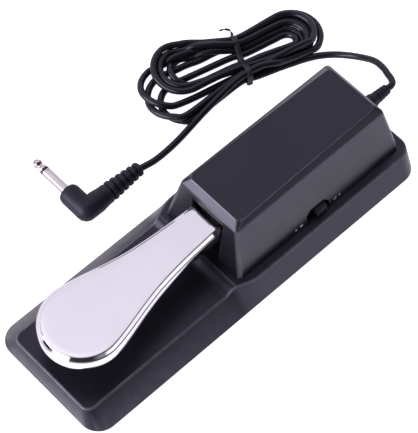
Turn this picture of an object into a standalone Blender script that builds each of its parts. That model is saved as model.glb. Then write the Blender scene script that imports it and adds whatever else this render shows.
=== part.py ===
"""Sustain pedal for a keyboard: a chrome pedal hinged in a housing on a long base, with its cord and plug.

Units are metres. +Z is up, +Y runs to the rear, where the cord leaves, and +X is the right side, where the
polarity switch is. The origin is on the floor under the middle of the base.
"""

import math

import bmesh
import bpy
from mathutils import Matrix, Vector

# ---- driving dimensions -------------------------------------------------------------------------------
GAP = 0.0003  # clearance between pieces that touch or rest on each other

FOOT_HEIGHT = 0.0020
BASE_LENGTH = 0.2700
BASE_HALF_WIDTH = 0.0453
BASE_CORNER = 0.0130
BASE_WALL = 0.0030
DECK_WALL = 0.0025
FRONT_Y = -BASE_LENGTH / 2
REAR_Y = BASE_LENGTH / 2

FRONT_DECK_Z = 0.0145
FRONT_RIM_HALF = 0.0334
FRONT_RIM_SETBACK = 0.0038
FRONT_RIM_CORNER = 0.0060
REAR_DECK_Z = 0.0191
REAR_RIM_HALF = 0.0386
REAR_RIM_SETBACK = 0.0014
REAR_RIM_CORNER = 0.0100
RAMP_START_Y = -0.0220  # the deck climbs between these two
RAMP_END_Y = -0.0125
FLARE_START_Y = -0.0190  # the rim widens between these two
FLARE_END_Y = 0.0010
RIM_ROUNDING = 0.0010

PLATE_THICKNESS = 0.0015
PLATE_INSET = 0.0040
SCREW_SHANK_RADIUS = 0.0013
SCREW_HOLE_RADIUS = 0.0017
BOSS_RADIUS = 0.0035
SMALL_SCREW_RADIUS = 0.0009
SMALL_HOLE_RADIUS = 0.0012
BASE_SCREW_SPOTS = [(-0.0100, -0.1180), (0.0100, -0.1180), (-0.0290, -0.0300), (0.0290, -0.0300),
                    (-0.0100, 0.1220), (0.0100, 0.1220)]
FOOT_HALF_WIDTH = 0.0110
FOOT_HALF_LENGTH = 0.0230
FOOT_CORNER = 0.0070
FOOT_SPOTS = [(-0.0250, -0.0950), (0.0250, -0.0950), (-0.0250, 0.0950), (0.0250, 0.0950)]

HOUSING_BOTTOM_Z = REAR_DECK_Z + GAP
HOUSING_SHOULDER_Z = 0.0591
HOUSING_TOP_Z = 0.0635
HOUSING_WALL = 0.0023
# each ring is (front y, rear y, half-width in front, half-width behind)
HOUSING_BOTTOM = (-0.0089, 0.1275, 0.0327, 0.0327)
HOUSING_SHOULDER = (-0.0043, 0.1190, 0.0244, 0.0244)
HOUSING_TOP = (0.0003, 0.1153, 0.0214, 0.0192)
HOUSING_CORNER = 0.0028
HOUSING_EDGE = 0.0007
MOUTH_HALF_WIDTH = 0.0135
MOUTH_TOP_Z = 0.0543
HOUSING_SCREW_SPOTS = [(-0.0245, 0.0150), (0.0245, 0.0150), (-0.0245, 0.1050), (0.0245, 0.1050)]
HOUSING_BOSS_TOP_Z = 0.0460
NOTCH_FRONT_Y = 0.0480
NOTCH_REAR_Y = 0.0670
NOTCH_TOP_Z = 0.0290
NOTCH_CHAMFER = 0.0045
CORD_EXIT_Z = 0.0270

PIVOT = Vector((0.0, 0.0650, 0.0410))
PEDAL_TILT = math.radians(1.3)  # nose down at rest
# The pedal and the lever are drawn level, measured from the pivot.
PEDAL_TOP = 0.0102
PEDAL_SKIRT = 0.0095
PEDAL_ROOF = 0.0022
PEDAL_WALL = 0.0022
PEDAL_ROUNDING = 0.0016
PEDAL_NECK_Y = -0.0696
PEDAL_NOSE_RADIUS = 0.0267
PEDAL_NOSE_Y = -0.1677
# (distance forward of the neck's end, half-width)
PEDAL_FLANK = [(0.0000, 0.0123), (0.0170, 0.0131), (0.0340, 0.0144), (0.0510, 0.0166),
               (0.0660, 0.0198), (0.0800, 0.0234), (0.0900, 0.0257)]
LEVER_HALF_WIDTH = 0.0080
LEVER_THICKNESS = 0.0050
LEVER_TOP = PEDAL_TOP - PEDAL_ROOF - GAP
LEVER_BOTTOM = LEVER_TOP - LEVER_THICKNESS
LEVER_FRONT_Y = -0.1500
LEVER_REAR_Y = 0.0140
HUB_RADIUS = 0.0050
HUB_HALF_WIDTH = 0.0098
STUD_SPOTS = (-0.0950, -0.1350)
STUD_RADIUS = 0.0020
NUT_THICKNESS = 0.0032
NUT_RADIUS = 0.0040
STRIKER_Y = -0.0160
SPRING_Y = -0.0460

AXLE_RADIUS = 0.00250
AXLE_BORE = 0.00255
AXLE_HALF_LENGTH = 0.0186
BUSHING_RADIUS = 0.0040
BUSHING_LENGTH = 0.0058
FLANGE_RADIUS = 0.0060
FLANGE_THICKNESS = 0.0030
CHEEK_INNER = 0.0134
CHEEK_OUTER = 0.0150
BRACKET_FRONT_Y = 0.0310
BRACKET_REAR_Y = 0.0890
BRACKET_SHEET = 0.0016
BRACKET_Z = REAR_DECK_Z + GAP
BRACKET_SCREW_SPOTS = [(-0.0102, 0.0410), (0.0103, 0.0370), (-0.0095, 0.0810), (0.0095, 0.0810)]

SWITCH_HALF_WIDTH = 0.0051
SWITCH_FRONT_Y = 0.0314
SWITCH_REAR_Y = 0.0587
SWITCH_TOP_Z = 0.0372
SWITCH_SCREW_YS = (0.0355, 0.0545)
SWITCH_SCREW_Z = 0.0270
EAR_X = 0.0058
EAR_SHEET = 0.0014
PLUNGER_RADIUS = 0.0018
PLUNGER_BOTTOM_Z = 0.0351

BOARD_X = 0.0206
BOARD_SHEET = 0.0016
BOARD_SCREW_YS = (0.0385, 0.0745)
BOARD_SCREW_Z = 0.0350
POST_DEPTH = 0.0041
POST_HALF_WIDTH = 0.0040
POST_TOP_Z = 0.0400
SLIDE_FACE_X = 0.0283
KNOB_Y = 0.0595
KNOB_HALF_LENGTH = 0.0038
KNOB_OUTER_X = 0.0336
KNOB_BOTTOM_Z = 0.0204
KNOB_TOP_Z = 0.0262
WIRE_RADIUS = 0.00055

SPRING_WIRE = 0.0008
SPRING_RADIUS = 0.0060
SPRING_TURNS = 6

CORD_RADIUS = 0.00225
FLOOR_LIFT = GAP  # lowest point of what lies on the floor
BOOT_START_Y = 0.1142
BOOT_END_Y = 0.1495
BOOT_RADIUS = 0.0042
# The coiled cord seen from above is one round end at the rear and three loops fanned out at the front,
# each (centre x, centre y, radius), with sides drawn in where the tie holds it.
REAR_LOOP = (-0.0815, 0.1475, 0.0198)
OUTER_LOOP = (-0.1135, 0.0745, 0.0186)
MIDDLE_LOOP = (-0.1080, 0.0570, 0.0180)
INNER_LOOP = (-0.0910, 0.0575, 0.0182)
OUTER_SIDE = [(-0.1033, 0.1400), (-0.1065, 0.1190), (-0.1150, 0.1020)]
INNER_SIDE = [(-0.0752, 0.0747), (-0.0750, 0.0880), (-0.0745, 0.1030), (-0.0702, 0.1155), (-0.0664, 0.1246),
              (-0.0637, 0.1318)]
COIL_BOTTOM_Z = 0.0016
COIL_TOP_Z = 0.0125
TIE_CENTRE = Vector((-0.0905, 0.1098, 0.0))
TIE_LEAN = math.radians(-25.0)
TIE_OPENING_HALF = 0.0190
TIE_THICKNESS = 0.0010
TIE_WIDTH = 0.0040

PLUG_BODY_RADIUS = 0.0073
PLUG_AXIS_Z = PLUG_BODY_RADIUS + FLOOR_LIFT
PLUG_ELBOW = Vector((-0.0722, -0.0390, PLUG_AXIS_Z))
PLUG_NOSE_X = -0.0905
PLUG_TIP_X = -0.1210
PLUG_SHANK_RADIUS = 0.003175
PLUG_BOOT_END_Y = 0.0055

# The hanging cord from the boot down to the floor and round to the coil, then the run from plug to coil.
TAIL_ROUTE = [(0.0000, 0.1501, 0.0270), (-0.0020, 0.1540, 0.0262), (-0.0060, 0.1573, 0.0250),
              (-0.0115, 0.1604, 0.0230), (-0.0187, 0.1630, 0.0200), (-0.0268, 0.1643, 0.0165),
              (-0.0342, 0.1640, 0.0133), (-0.0405, 0.1626, 0.0105), (-0.0460, 0.1603, 0.0080),
              (-0.0507, 0.1573, 0.0060), (-0.0549, 0.1534, 0.0044), (-0.0594, 0.1475, 0.0033)]
LEAD_ROUTE = [(-0.0721, 0.0060, 0.0053), (-0.0715, 0.0140, 0.0042), (-0.0716, 0.0220, 0.0032),
              (-0.0725, 0.0332, 0.0026), (-0.0738, 0.0450, 0.0026)]


# ---- helpers ------------------------------------------------------------------------------------------
def clear_scene():
    for obj in list(bpy.data.objects):
        bpy.data.objects.remove(obj)


def new_collection(name, hidden):
    collection = bpy.data.collections.new(name)
    bpy.context.scene.collection.children.link(collection)
    collection.hide_render = hidden
    return collection


clear_scene()
PARTS = new_collection("sustain_pedal", False)
CUTTERS = new_collection("cutters", True)


def material(name, colour, metallic, roughness):
    """One Principled material for each node."""
    made = bpy.data.materials.new(name)
    made.use_nodes = True
    shader = made.node_tree.nodes["Principled BSDF"]
    shader.inputs["Base Color"].default_value = (*colour, 1.0)
    shader.inputs["Metallic"].default_value = metallic
    shader.inputs["Roughness"].default_value = roughness
    made.diffuse_color = (*colour, 1.0)
    return made


LOOKS = {
    "black_plastic": ((0.030, 0.029, 0.034), 0.0, 0.42),
    "chrome": ((0.83, 0.82, 0.86), 1.0, 0.06),
    "steel": ((0.55, 0.55, 0.56), 1.0, 0.35),
    "plated_steel": ((0.68, 0.68, 0.66), 1.0, 0.28),
    "black_rubber": ((0.024, 0.024, 0.026), 0.0, 0.75),
    "nylon": ((0.82, 0.80, 0.74), 0.0, 0.45),
    "felt": ((0.20, 0.22, 0.20), 0.0, 0.95),
    "board_green": ((0.05, 0.22, 0.11), 0.0, 0.50),
    "red_wire": ((0.55, 0.04, 0.04), 0.0, 0.45),
    "black_cable": ((0.020, 0.019, 0.023), 0.0, 0.38),
    "nickel": ((0.78, 0.73, 0.72), 1.0, 0.14),
}


def place(name, mesh, look, origin=Vector(), helper=False):
    """Adds an object for a mesh drawn in world space, and puts the object's own origin at `origin`."""
    mesh.transform(Matrix.Translation(-Vector(origin)))
    obj = bpy.data.objects.new(name, mesh)
    obj.location = origin
    if helper:
        obj.hide_render = True
        obj.display_type = "WIRE"
        CUTTERS.objects.link(obj)
    else:
        mesh.materials.append(material(name, *LOOKS[look]))
        PARTS.objects.link(obj)
    return obj


def finish_mesh(name, bm):
    bmesh.ops.recalc_face_normals(bm, faces=bm.faces)
    mesh = bpy.data.meshes.new(name)
    bm.to_mesh(mesh)
    bm.free()
    return mesh


def loft(name, rings, look=None, origin=Vector(), helper=False, soften=None):
    """A closed solid through rings that all have the same number of points. `soften` rounds chosen edges."""
    bm = bmesh.new()
    loops = [[bm.verts.new(point) for point in ring] for ring in rings]
    for lower, upper in zip(loops, loops[1:]):
        for i in range(len(lower)):
            j = (i + 1) % len(lower)
            bm.faces.new((lower[i], lower[j], upper[j], upper[i]))
    bm.faces.new(list(reversed(loops[0])))
    bm.faces.new(loops[-1])
    if soften:
        soften(bm, loops)
    return place(name, finish_mesh(name, bm), look, origin, helper)


def box(name, low, high, look=None, origin=Vector(), helper=False, rounding=0.0):
    corners = [(low[0], low[1]), (high[0], low[1]), (high[0], high[1]), (low[0], high[1])]
    rings = [[(x, y, z) for x, y in corners] for z in (low[2], high[2])]

    def soften(bm, _):
        if rounding:
            bmesh.ops.bevel(bm, geom=bm.edges[:], offset=rounding, segments=2, affect="EDGES", profile=0.5)

    return loft(name, rings, look, origin, helper, soften)


def prism(name, outline, low, high, axis="Z", look=None, origin=Vector(), helper=False):
    """An outline extruded along an axis. Its points are on the other two axes, in X, Y, Z order."""
    def point(u, v, w):
        return {"X": (w, u, v), "Y": (u, w, v), "Z": (u, v, w)}[axis]

    rings = [[point(u, v, w) for u, v in outline] for w in (low, high)]
    return loft(name, rings, look, origin, helper)


def spin(obj, start, along, steps):
    """Turns a half-section drawn in X and Z about an axis through `start`."""
    obj.location = start
    obj.rotation_mode = "QUATERNION"
    obj.rotation_quaternion = Vector((0, 0, 1)).rotation_difference(along)
    screw = obj.modifiers.new("turn", "SCREW")
    screw.steps = screw.render_steps = steps
    screw.use_merge_vertices = True
    screw.merge_threshold = 0.00001


def turned(name, profile, start, direction, look=None, helper=False, steps=20):
    """A turned solid. The profile is (radius, distance along the axis), from one end to the other."""
    along = Vector(direction).normalized()
    mesh = bpy.data.meshes.new(name)
    points = [(0.0, 0.0, profile[0][1])] if profile[0][0] > 0 else []
    points += [(radius, 0.0, height) for radius, height in profile]
    if profile[-1][0] > 0:
        points.append((0.0, 0.0, profile[-1][1]))
    points.reverse()
    mesh.from_pydata(points, [(i, i + 1) for i in range(len(points) - 1)], [])
    obj = place(name, mesh, look, helper=helper)
    spin(obj, start, along, steps)
    return obj


def rod(name, start, end, radius, look=None, helper=False, steps=20):
    length = (Vector(end) - Vector(start)).length
    direction = Vector(end) - Vector(start)
    return turned(name, [(radius, 0.0), (radius, length)], start, direction, look, helper=helper, steps=steps)


def ring(name, start, direction, outer, inner, length, look=None, helper=False, steps=24):
    """A tube with square ends, turned about the axis through `start`."""
    along = Vector(direction).normalized()
    loop = [(inner, 0.0), (outer, 0.0), (outer, length), (inner, length)]
    mesh = bpy.data.meshes.new(name)
    points = [(radius, 0.0, height) for radius, height in reversed(loop)]
    count = len(points)
    mesh.from_pydata(points, [(i, (i + 1) % count) for i in range(count)], [])
    obj = place(name, mesh, look, helper=helper)
    spin(obj, start, along, steps)
    return obj


def boolean(obj, operation, other):
    modifier = obj.modifiers.new(operation.lower(), "BOOLEAN")
    modifier.operation = operation
    modifier.solver = "EXACT"
    modifier.object = other


def cut(obj, *others):
    for other in others:
        boolean(obj, "DIFFERENCE", other)


def join(obj, *others):
    for other in others:
        boolean(obj, "UNION", other)


def smooth_route(points, spacing):
    """Evenly spaced points on a Catmull-Rom curve through the given ones."""
    knots = [Vector(p) for p in points]
    knots = [2 * knots[0] - knots[1]] + knots + [2 * knots[-1] - knots[-2]]
    dense = []
    for a, b, c, d in zip(knots, knots[1:], knots[2:], knots[3:]):
        for step in range(24):
            t = step / 24
            dense.append(0.5 * (2 * b + (c - a) * t + (2 * a - 5 * b + 4 * c - d) * t * t
                                + (3 * b - a - 3 * c + d) * t ** 3))
    dense.append(knots[-2])
    total = sum((q - p).length for p, q in zip(dense, dense[1:]))
    count = max(2, round(total / spacing))
    wanted = [total * i / count for i in range(count + 1)]
    route, travelled, index = [dense[0]], 0.0, 0
    for target in wanted[1:-1]:
        while travelled + (dense[index + 1] - dense[index]).length < target:
            travelled += (dense[index + 1] - dense[index]).length
            index += 1
        span = (dense[index + 1] - dense[index]).length
        route.append(dense[index].lerp(dense[index + 1], (target - travelled) / span))
    route.append(dense[-1])
    return route


def tube(name, points, radius, look, resolution=2):
    curve = bpy.data.curves.new(name, "CURVE")
    curve.dimensions = "3D"
    curve.bevel_depth = radius
    curve.bevel_resolution = resolution
    curve.use_fill_caps = True
    spline = curve.splines.new("POLY")
    spline.points.add(len(points) - 1)
    for slot, point in zip(spline.points, points):
        slot.co = (*point, 1.0)
    curve.materials.append(material(name, *LOOKS[look]))
    obj = bpy.data.objects.new(name, curve)
    PARTS.objects.link(obj)
    return obj


def smoothstep(low, high, value):
    t = min(max((value - low) / (high - low), 0.0), 1.0)
    return t * t * (3 - 2 * t)


def arc(centre, radius, start, end, count):
    """Points on a flat arc, angles in degrees."""
    angles = [math.radians(start + (end - start) * i / count) for i in range(count + 1)]
    return [(centre[0] + radius * math.cos(a), centre[1] + radius * math.sin(a)) for a in angles]


def rounded_rectangle(centre, half_width, half_length, corner):
    x, y = half_width - corner, half_length - corner
    outline = []
    for start, (sign_x, sign_y) in zip((-90, 0, 90, 180), ((1, -1), (1, 1), (-1, 1), (-1, -1))):
        outline += arc((centre[0] + sign_x * x, centre[1] + sign_y * y), corner, start, start + 90, 4)
    return outline


def drill(name, obj, start, end, radius, steps=12):
    cut(obj, rod(name, start, end, radius, helper=True, steps=steps))


def screw_set(name, spots, head_z, length, direction, look="plated_steel"):
    """Pan head screws, one node each. The head's flat underside is at head_z."""
    for number, (x, y) in enumerate(spots, 1):
        profile = [(0.0, -0.0013), (0.0012, -0.0013), (0.0024, -0.0009), (0.0028, 0.0),
                   (SCREW_SHANK_RADIUS, 0.0), (SCREW_SHANK_RADIUS, length - 0.001), (0.0004, length)]
        turned(f"{name}_{number}", profile, (x, y, head_z), (0, 0, direction), look, steps=16)


# ---- base ---------------------------------------------------------------------------------------------
def deck_height(y):
    return FRONT_DECK_Z + (REAR_DECK_Z - FRONT_DECK_Z) * smoothstep(RAMP_START_Y, RAMP_END_Y, y)


def rim_half_width(y):
    return FRONT_RIM_HALF + (REAR_RIM_HALF - FRONT_RIM_HALF) * smoothstep(FLARE_START_Y, FLARE_END_Y, y)


def base_stations(inset, drop, bottom_z):
    """Cross-sections from front to rear, each as left bottom, left rim, right rim and right bottom."""
    corner = BASE_CORNER - inset * 0.8
    rows = []

    def add(foot_x, foot_y, rim_x, rim_y):
        rim_z = deck_height(rim_y) - drop
        rows.append([(-foot_x, foot_y, bottom_z), (-rim_x, rim_y, rim_z),
                     (rim_x, rim_y, rim_z), (foot_x, foot_y, bottom_z)])

    def add_corner(degrees, end_y, sign, rim_corner, setback, rim_half):
        sine = math.sin(math.radians(degrees))
        back = 1 - math.cos(math.radians(degrees))
        rim_corner = max(rim_corner - inset * 0.6, 0.002)
        add(BASE_HALF_WIDTH - inset - corner + corner * sine,
            end_y + sign * (inset + corner * back),
            rim_half - inset - rim_corner + rim_corner * sine,
            end_y + sign * (setback + inset + rim_corner * back))

    steps = (0, 22.5, 45, 67.5, 90)
    for degrees in steps:
        add_corner(degrees, FRONT_Y, 1, FRONT_RIM_CORNER, FRONT_RIM_SETBACK, FRONT_RIM_HALF)
    middle = 12
    for i in range(middle + 1):
        y = RAMP_START_Y + (FLARE_END_Y - RAMP_START_Y) * i / middle
        add(BASE_HALF_WIDTH - inset, y, rim_half_width(y) - inset, y)
    for degrees in reversed(steps):
        add_corner(degrees, REAR_Y, -1, REAR_RIM_CORNER, REAR_RIM_SETBACK, REAR_RIM_HALF)
    return rows


def round_the_rim(bm, loops):
    """Rounds the edge where the walls meet the deck, all the way round."""
    rim = []
    for side in (1, 2):
        rim += [bm.edges.get((a[side], b[side])) for a, b in zip(loops, loops[1:])]
    rim += [bm.edges.get((loops[0][1], loops[0][2])), bm.edges.get((loops[-1][1], loops[-1][2]))]
    bmesh.ops.bevel(bm, geom=rim, offset=RIM_ROUNDING, segments=2, affect="EDGES", profile=0.5,
                    clamp_overlap=True)


def build_base_shell():
    base = loft("base_shell", base_stations(0.0, 0.0, FOOT_HEIGHT), "black_plastic", soften=round_the_rim)
    plate_top = FOOT_HEIGHT + GAP + PLATE_THICKNESS
    cut(base, loft("base_hollow", base_stations(BASE_WALL, DECK_WALL, 0.0), helper=True))
    cut(base, prism("plate_recess", plate_outline(PLATE_INSET - GAP), 0.0, plate_top + GAP, helper=True))
    for number, (x, y) in enumerate(BASE_SCREW_SPOTS, 1):
        top = deck_height(y) - DECK_WALL / 2
        boss_low = (x, y, plate_top + GAP)
        join(base, rod(f"base_boss_{number}", boss_low, (x, y, top), BOSS_RADIUS, helper=True, steps=16))
        drill(f"base_boss_hole_{number}", base, (x, y, 0.0), (x, y, 0.0110), SCREW_HOLE_RADIUS)
    for number, (x, y) in enumerate(HOUSING_SCREW_SPOTS, 1):
        drill(f"deck_hole_{number}", base, (x, y, 0.0120), (x, y, 0.0230), SCREW_HOLE_RADIUS)
    for number, (x, y) in enumerate(BRACKET_SCREW_SPOTS, 1):
        top = REAR_DECK_Z - DECK_WALL / 2
        boss_low = (x, y, 0.0090)
        join(base, rod(f"bracket_boss_{number}", boss_low, (x, y, top), BOSS_RADIUS, helper=True, steps=16))
        drill(f"bracket_boss_hole_{number}", base, (x, y, 0.0105), (x, y, 0.0230), SCREW_HOLE_RADIUS)
    for number, y in enumerate(BOARD_SCREW_YS, 1):
        post_x = BOARD_X - GAP
        low = (post_x - POST_DEPTH, y - POST_HALF_WIDTH, REAR_DECK_Z - 0.0010)
        join(base, box(f"board_post_{number}", low, (post_x, y + POST_HALF_WIDTH, POST_TOP_Z), helper=True))
        drill(f"board_post_hole_{number}", base, (post_x - 0.0060, y, BOARD_SCREW_Z),
              (post_x + 0.0020, y, BOARD_SCREW_Z), SMALL_HOLE_RADIUS)


def plate_outline(inset):
    """A rounded rectangle inside the foot of the walls."""
    return rounded_rectangle((0, 0), BASE_HALF_WIDTH - inset, REAR_Y - inset, BASE_CORNER - inset)


def build_bottom_plate():
    outline = plate_outline(PLATE_INSET)
    low = FOOT_HEIGHT + GAP
    plate = prism("bottom_plate", outline, low, low + PLATE_THICKNESS, look="steel")
    for number, (x, y) in enumerate(BASE_SCREW_SPOTS, 1):
        drill(f"plate_hole_{number}", plate, (x, y, 0.0), (x, y, 0.0060), SCREW_HOLE_RADIUS)
    screw_set("base_screw", BASE_SCREW_SPOTS, FOOT_HEIGHT, 0.0080, 1)


def build_feet():
    for number, (x, y) in enumerate(FOOT_SPOTS, 1):
        outline = rounded_rectangle((x, y), FOOT_HALF_WIDTH, FOOT_HALF_LENGTH, FOOT_CORNER)
        prism(f"rubber_foot_{number}", outline, 0.0, FOOT_HEIGHT, look="black_rubber")


# ---- housing ------------------------------------------------------------------------------------------
def housing_ring(sizes, z, inset=0.0):
    """A four-sided ring with its corners cut back, so that the upright edges come out rounded."""
    front, rear, half_front, half_rear = sizes
    front, rear = front + inset, rear - inset
    half_front, half_rear = half_front - inset, half_rear - inset
    c = max(HOUSING_CORNER - inset, 0.0006)
    m = c * 0.29
    half = [(half_front, front), (half_rear, rear)]
    points = [(half[0][0] - c, front, z), (half[0][0] - m, front + m, z), (half[0][0], front + c, z),
              (half[1][0], rear - c, z), (half[1][0] - m, rear - m, z), (half[1][0] - c, rear, z)]
    return points + [(-x, y, z) for x, y, z in reversed(points)]


def round_the_shoulders(bm, loops):
    crease = []
    for loop in loops[1:]:
        crease += [bm.edges.get((loop[i], loop[(i + 1) % len(loop)])) for i in range(len(loop))]
    bmesh.ops.bevel(bm, geom=crease, offset=HOUSING_EDGE, segments=2, affect="EDGES", profile=0.5,
                    clamp_overlap=True)


def build_housing():
    outer = [housing_ring(HOUSING_BOTTOM, HOUSING_BOTTOM_Z),
             housing_ring(HOUSING_SHOULDER, HOUSING_SHOULDER_Z),
             housing_ring(HOUSING_TOP, HOUSING_TOP_Z)]
    shell = loft("housing_shell", outer, "black_plastic", soften=round_the_shoulders)
    wall = HOUSING_WALL
    inner = [housing_ring(HOUSING_BOTTOM, HOUSING_BOTTOM_Z - 0.002, wall * 0.8),
             housing_ring(HOUSING_SHOULDER, HOUSING_SHOULDER_Z - wall * 0.4, wall),
             housing_ring(HOUSING_TOP, HOUSING_TOP_Z - wall, wall * 1.1)]
    cut(shell, loft("housing_hollow", inner, helper=True))

    for number, (x, y) in enumerate(HOUSING_SCREW_SPOTS, 1):
        join(shell, rod(f"housing_boss_{number}", (x, y, HOUSING_BOTTOM_Z), (x, y, HOUSING_BOSS_TOP_Z),
                        BOSS_RADIUS, helper=True, steps=16))
        drill(f"housing_boss_hole_{number}", shell, (x, y, 0.0150), (x, y, 0.0320), SCREW_HOLE_RADIUS)
    join(shell, box("rest_stop_rib", (-0.0100, 0.0090, 0.0505), (0.0100, 0.0210, HOUSING_TOP_Z - wall / 2),
                    helper=True))

    cut(shell, box("mouth", (-MOUTH_HALF_WIDTH, -0.0200, 0.0100), (MOUTH_HALF_WIDTH, 0.0020, MOUTH_TOP_Z),
                   helper=True))
    notch = [(NOTCH_FRONT_Y, 0.0150), (NOTCH_REAR_Y, 0.0150), (NOTCH_REAR_Y, NOTCH_TOP_Z - NOTCH_CHAMFER),
             (NOTCH_REAR_Y - NOTCH_CHAMFER, NOTCH_TOP_Z), (NOTCH_FRONT_Y + NOTCH_CHAMFER * 0.7, NOTCH_TOP_Z),
             (NOTCH_FRONT_Y, NOTCH_TOP_Z - NOTCH_CHAMFER * 0.7)]
    cut(shell, prism("switch_notch", notch, 0.0275, 0.0400, "X", helper=True))
    drill("cord_hole", shell, (0, 0.1150, CORD_EXIT_Z), (0, 0.1350, CORD_EXIT_Z), BOOT_RADIUS + 0.0004,
          steps=24)
    screw_set("housing_screw", HOUSING_SCREW_SPOTS, REAR_DECK_Z - DECK_WALL - GAP, 0.0130, 1)


# ---- pedal movement -----------------------------------------------------------------------------------
def pedal_frame(obj):
    """Puts a piece that is drawn level about the pivot in its place at rest."""
    obj.location = PIVOT
    obj.rotation_mode = "XYZ"
    obj.rotation_euler = (PEDAL_TILT, 0, 0)


def on_pivot(point):
    """Where a point measured from the pivot, before the rest tilt, is in world space."""
    return PIVOT + Matrix.Rotation(PEDAL_TILT, 3, "X") @ Vector(point)


def flank(distance):
    """Half-width of the pedal at a distance forward of the neck's end."""
    for (x0, w0), (x1, w1) in zip(PEDAL_FLANK, PEDAL_FLANK[1:]):
        if distance <= x1:
            return w0 + (w1 - w0) * (distance - x0) / (x1 - x0)
    return PEDAL_FLANK[-1][1]


def pedal_outline(inset=0.0):
    """The pedal seen from above, going round from the neck down the right side to the nose and back."""
    corner = 0.0016
    neck_half = flank(0.0) - inset
    neck_y = PEDAL_NECK_Y - inset
    right = [(neck_half - corner, neck_y), (neck_half, neck_y - corner)]
    for distance, half_width in PEDAL_FLANK[1:]:
        right.append((half_width - inset, PEDAL_NECK_Y - distance))
    nose = arc((0.0, PEDAL_NOSE_Y), PEDAL_NOSE_RADIUS - inset, 6, -90, 12)
    right += nose[:-1]
    left = [(-x, y) for x, y in reversed(right)]
    return right + [nose[-1]] + left


def build_pedal():
    outline = pedal_outline()
    rings = [[(x, y, z) for x, y in outline] for z in (PEDAL_TOP - PEDAL_SKIRT, PEDAL_TOP)]

    def soften(bm, loops):
        top = loops[-1]
        edges = [bm.edges.get((top[i], top[(i + 1) % len(top)])) for i in range(len(top))]
        bmesh.ops.bevel(bm, geom=edges, offset=PEDAL_ROUNDING, segments=3, affect="EDGES", profile=0.5,
                        clamp_overlap=True)

    pedal = loft("pedal_plate", rings, "chrome", soften=soften)
    cut(pedal, prism("pedal_hollow", pedal_outline(PEDAL_WALL), PEDAL_TOP - PEDAL_SKIRT - 0.002,
                     PEDAL_TOP - PEDAL_ROOF, helper=True))
    slot = LEVER_HALF_WIDTH + 0.0006
    cut(pedal, box("neck_slot", (-slot, PEDAL_NECK_Y - 0.0040, -0.0100),
                   (slot, PEDAL_NECK_Y + 0.0020, PEDAL_TOP - PEDAL_ROOF), helper=True))
    for number, y in enumerate(STUD_SPOTS, 1):
        join(pedal, rod(f"stud_{number}", (0, y, LEVER_BOTTOM - NUT_THICKNESS - 0.0012),
                        (0, y, PEDAL_TOP - PEDAL_ROOF / 2), STUD_RADIUS, helper=True, steps=16))


def build_lever():
    outline = [(-LEVER_HALF_WIDTH, LEVER_FRONT_Y + 0.002), (-LEVER_HALF_WIDTH + 0.002, LEVER_FRONT_Y),
               (LEVER_HALF_WIDTH - 0.002, LEVER_FRONT_Y), (LEVER_HALF_WIDTH, LEVER_FRONT_Y + 0.002),
               (LEVER_HALF_WIDTH, LEVER_REAR_Y), (-LEVER_HALF_WIDTH, LEVER_REAR_Y)]
    lever = prism("lever", outline, LEVER_BOTTOM, LEVER_TOP, look="steel")
    join(lever, rod("lever_hub", (-HUB_HALF_WIDTH, 0, 0), (HUB_HALF_WIDTH, 0, 0), HUB_RADIUS, helper=True,
                    steps=24))
    root = LEVER_BOTTOM + 0.001
    join(lever, rod("striker", (0, STRIKER_Y, -0.0014), (0, STRIKER_Y, root), 0.0025, helper=True, steps=16))
    join(lever, rod("spring_boss", (0, SPRING_Y, LEVER_BOTTOM - 0.0030), (0, SPRING_Y, root), 0.0040,
                    helper=True, steps=16))
    drill("axle_bore", lever, (-0.0200, 0, 0), (0.0200, 0, 0), AXLE_BORE, steps=24)
    for number, y in enumerate(STUD_SPOTS, 1):
        drill(f"stud_hole_{number}", lever, (0, y, 0.0), (0, y, 0.0200), STUD_RADIUS + GAP, steps=16)


def build_pedal_nuts():
    for number, y in enumerate(STUD_SPOTS, 1):
        hexagon = arc((0.0, y), NUT_RADIUS, 0, 300, 5)
        top = LEVER_BOTTOM - GAP
        nut = prism(f"pedal_nut_{number}", hexagon, top - NUT_THICKNESS, top, look="plated_steel")
        drill(f"nut_hole_{number}", nut, (0, y, -0.0100), (0, y, 0.0100), STUD_RADIUS + GAP, steps=16)


def build_moving_pedal():
    """The pedal, lever and nuts turn together. Their cutters follow them."""
    before = set(bpy.data.objects)
    build_pedal()
    build_lever()
    build_pedal_nuts()
    rest = Matrix.Translation(PIVOT) @ Matrix.Rotation(PEDAL_TILT, 4, "X")
    for obj in set(bpy.data.objects) - before:
        if obj.rotation_mode == "QUATERNION":
            turn = obj.rotation_quaternion.copy()
            obj.location = rest @ obj.location
            obj.rotation_quaternion = rest.to_quaternion() @ turn
        else:
            pedal_frame(obj)


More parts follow.
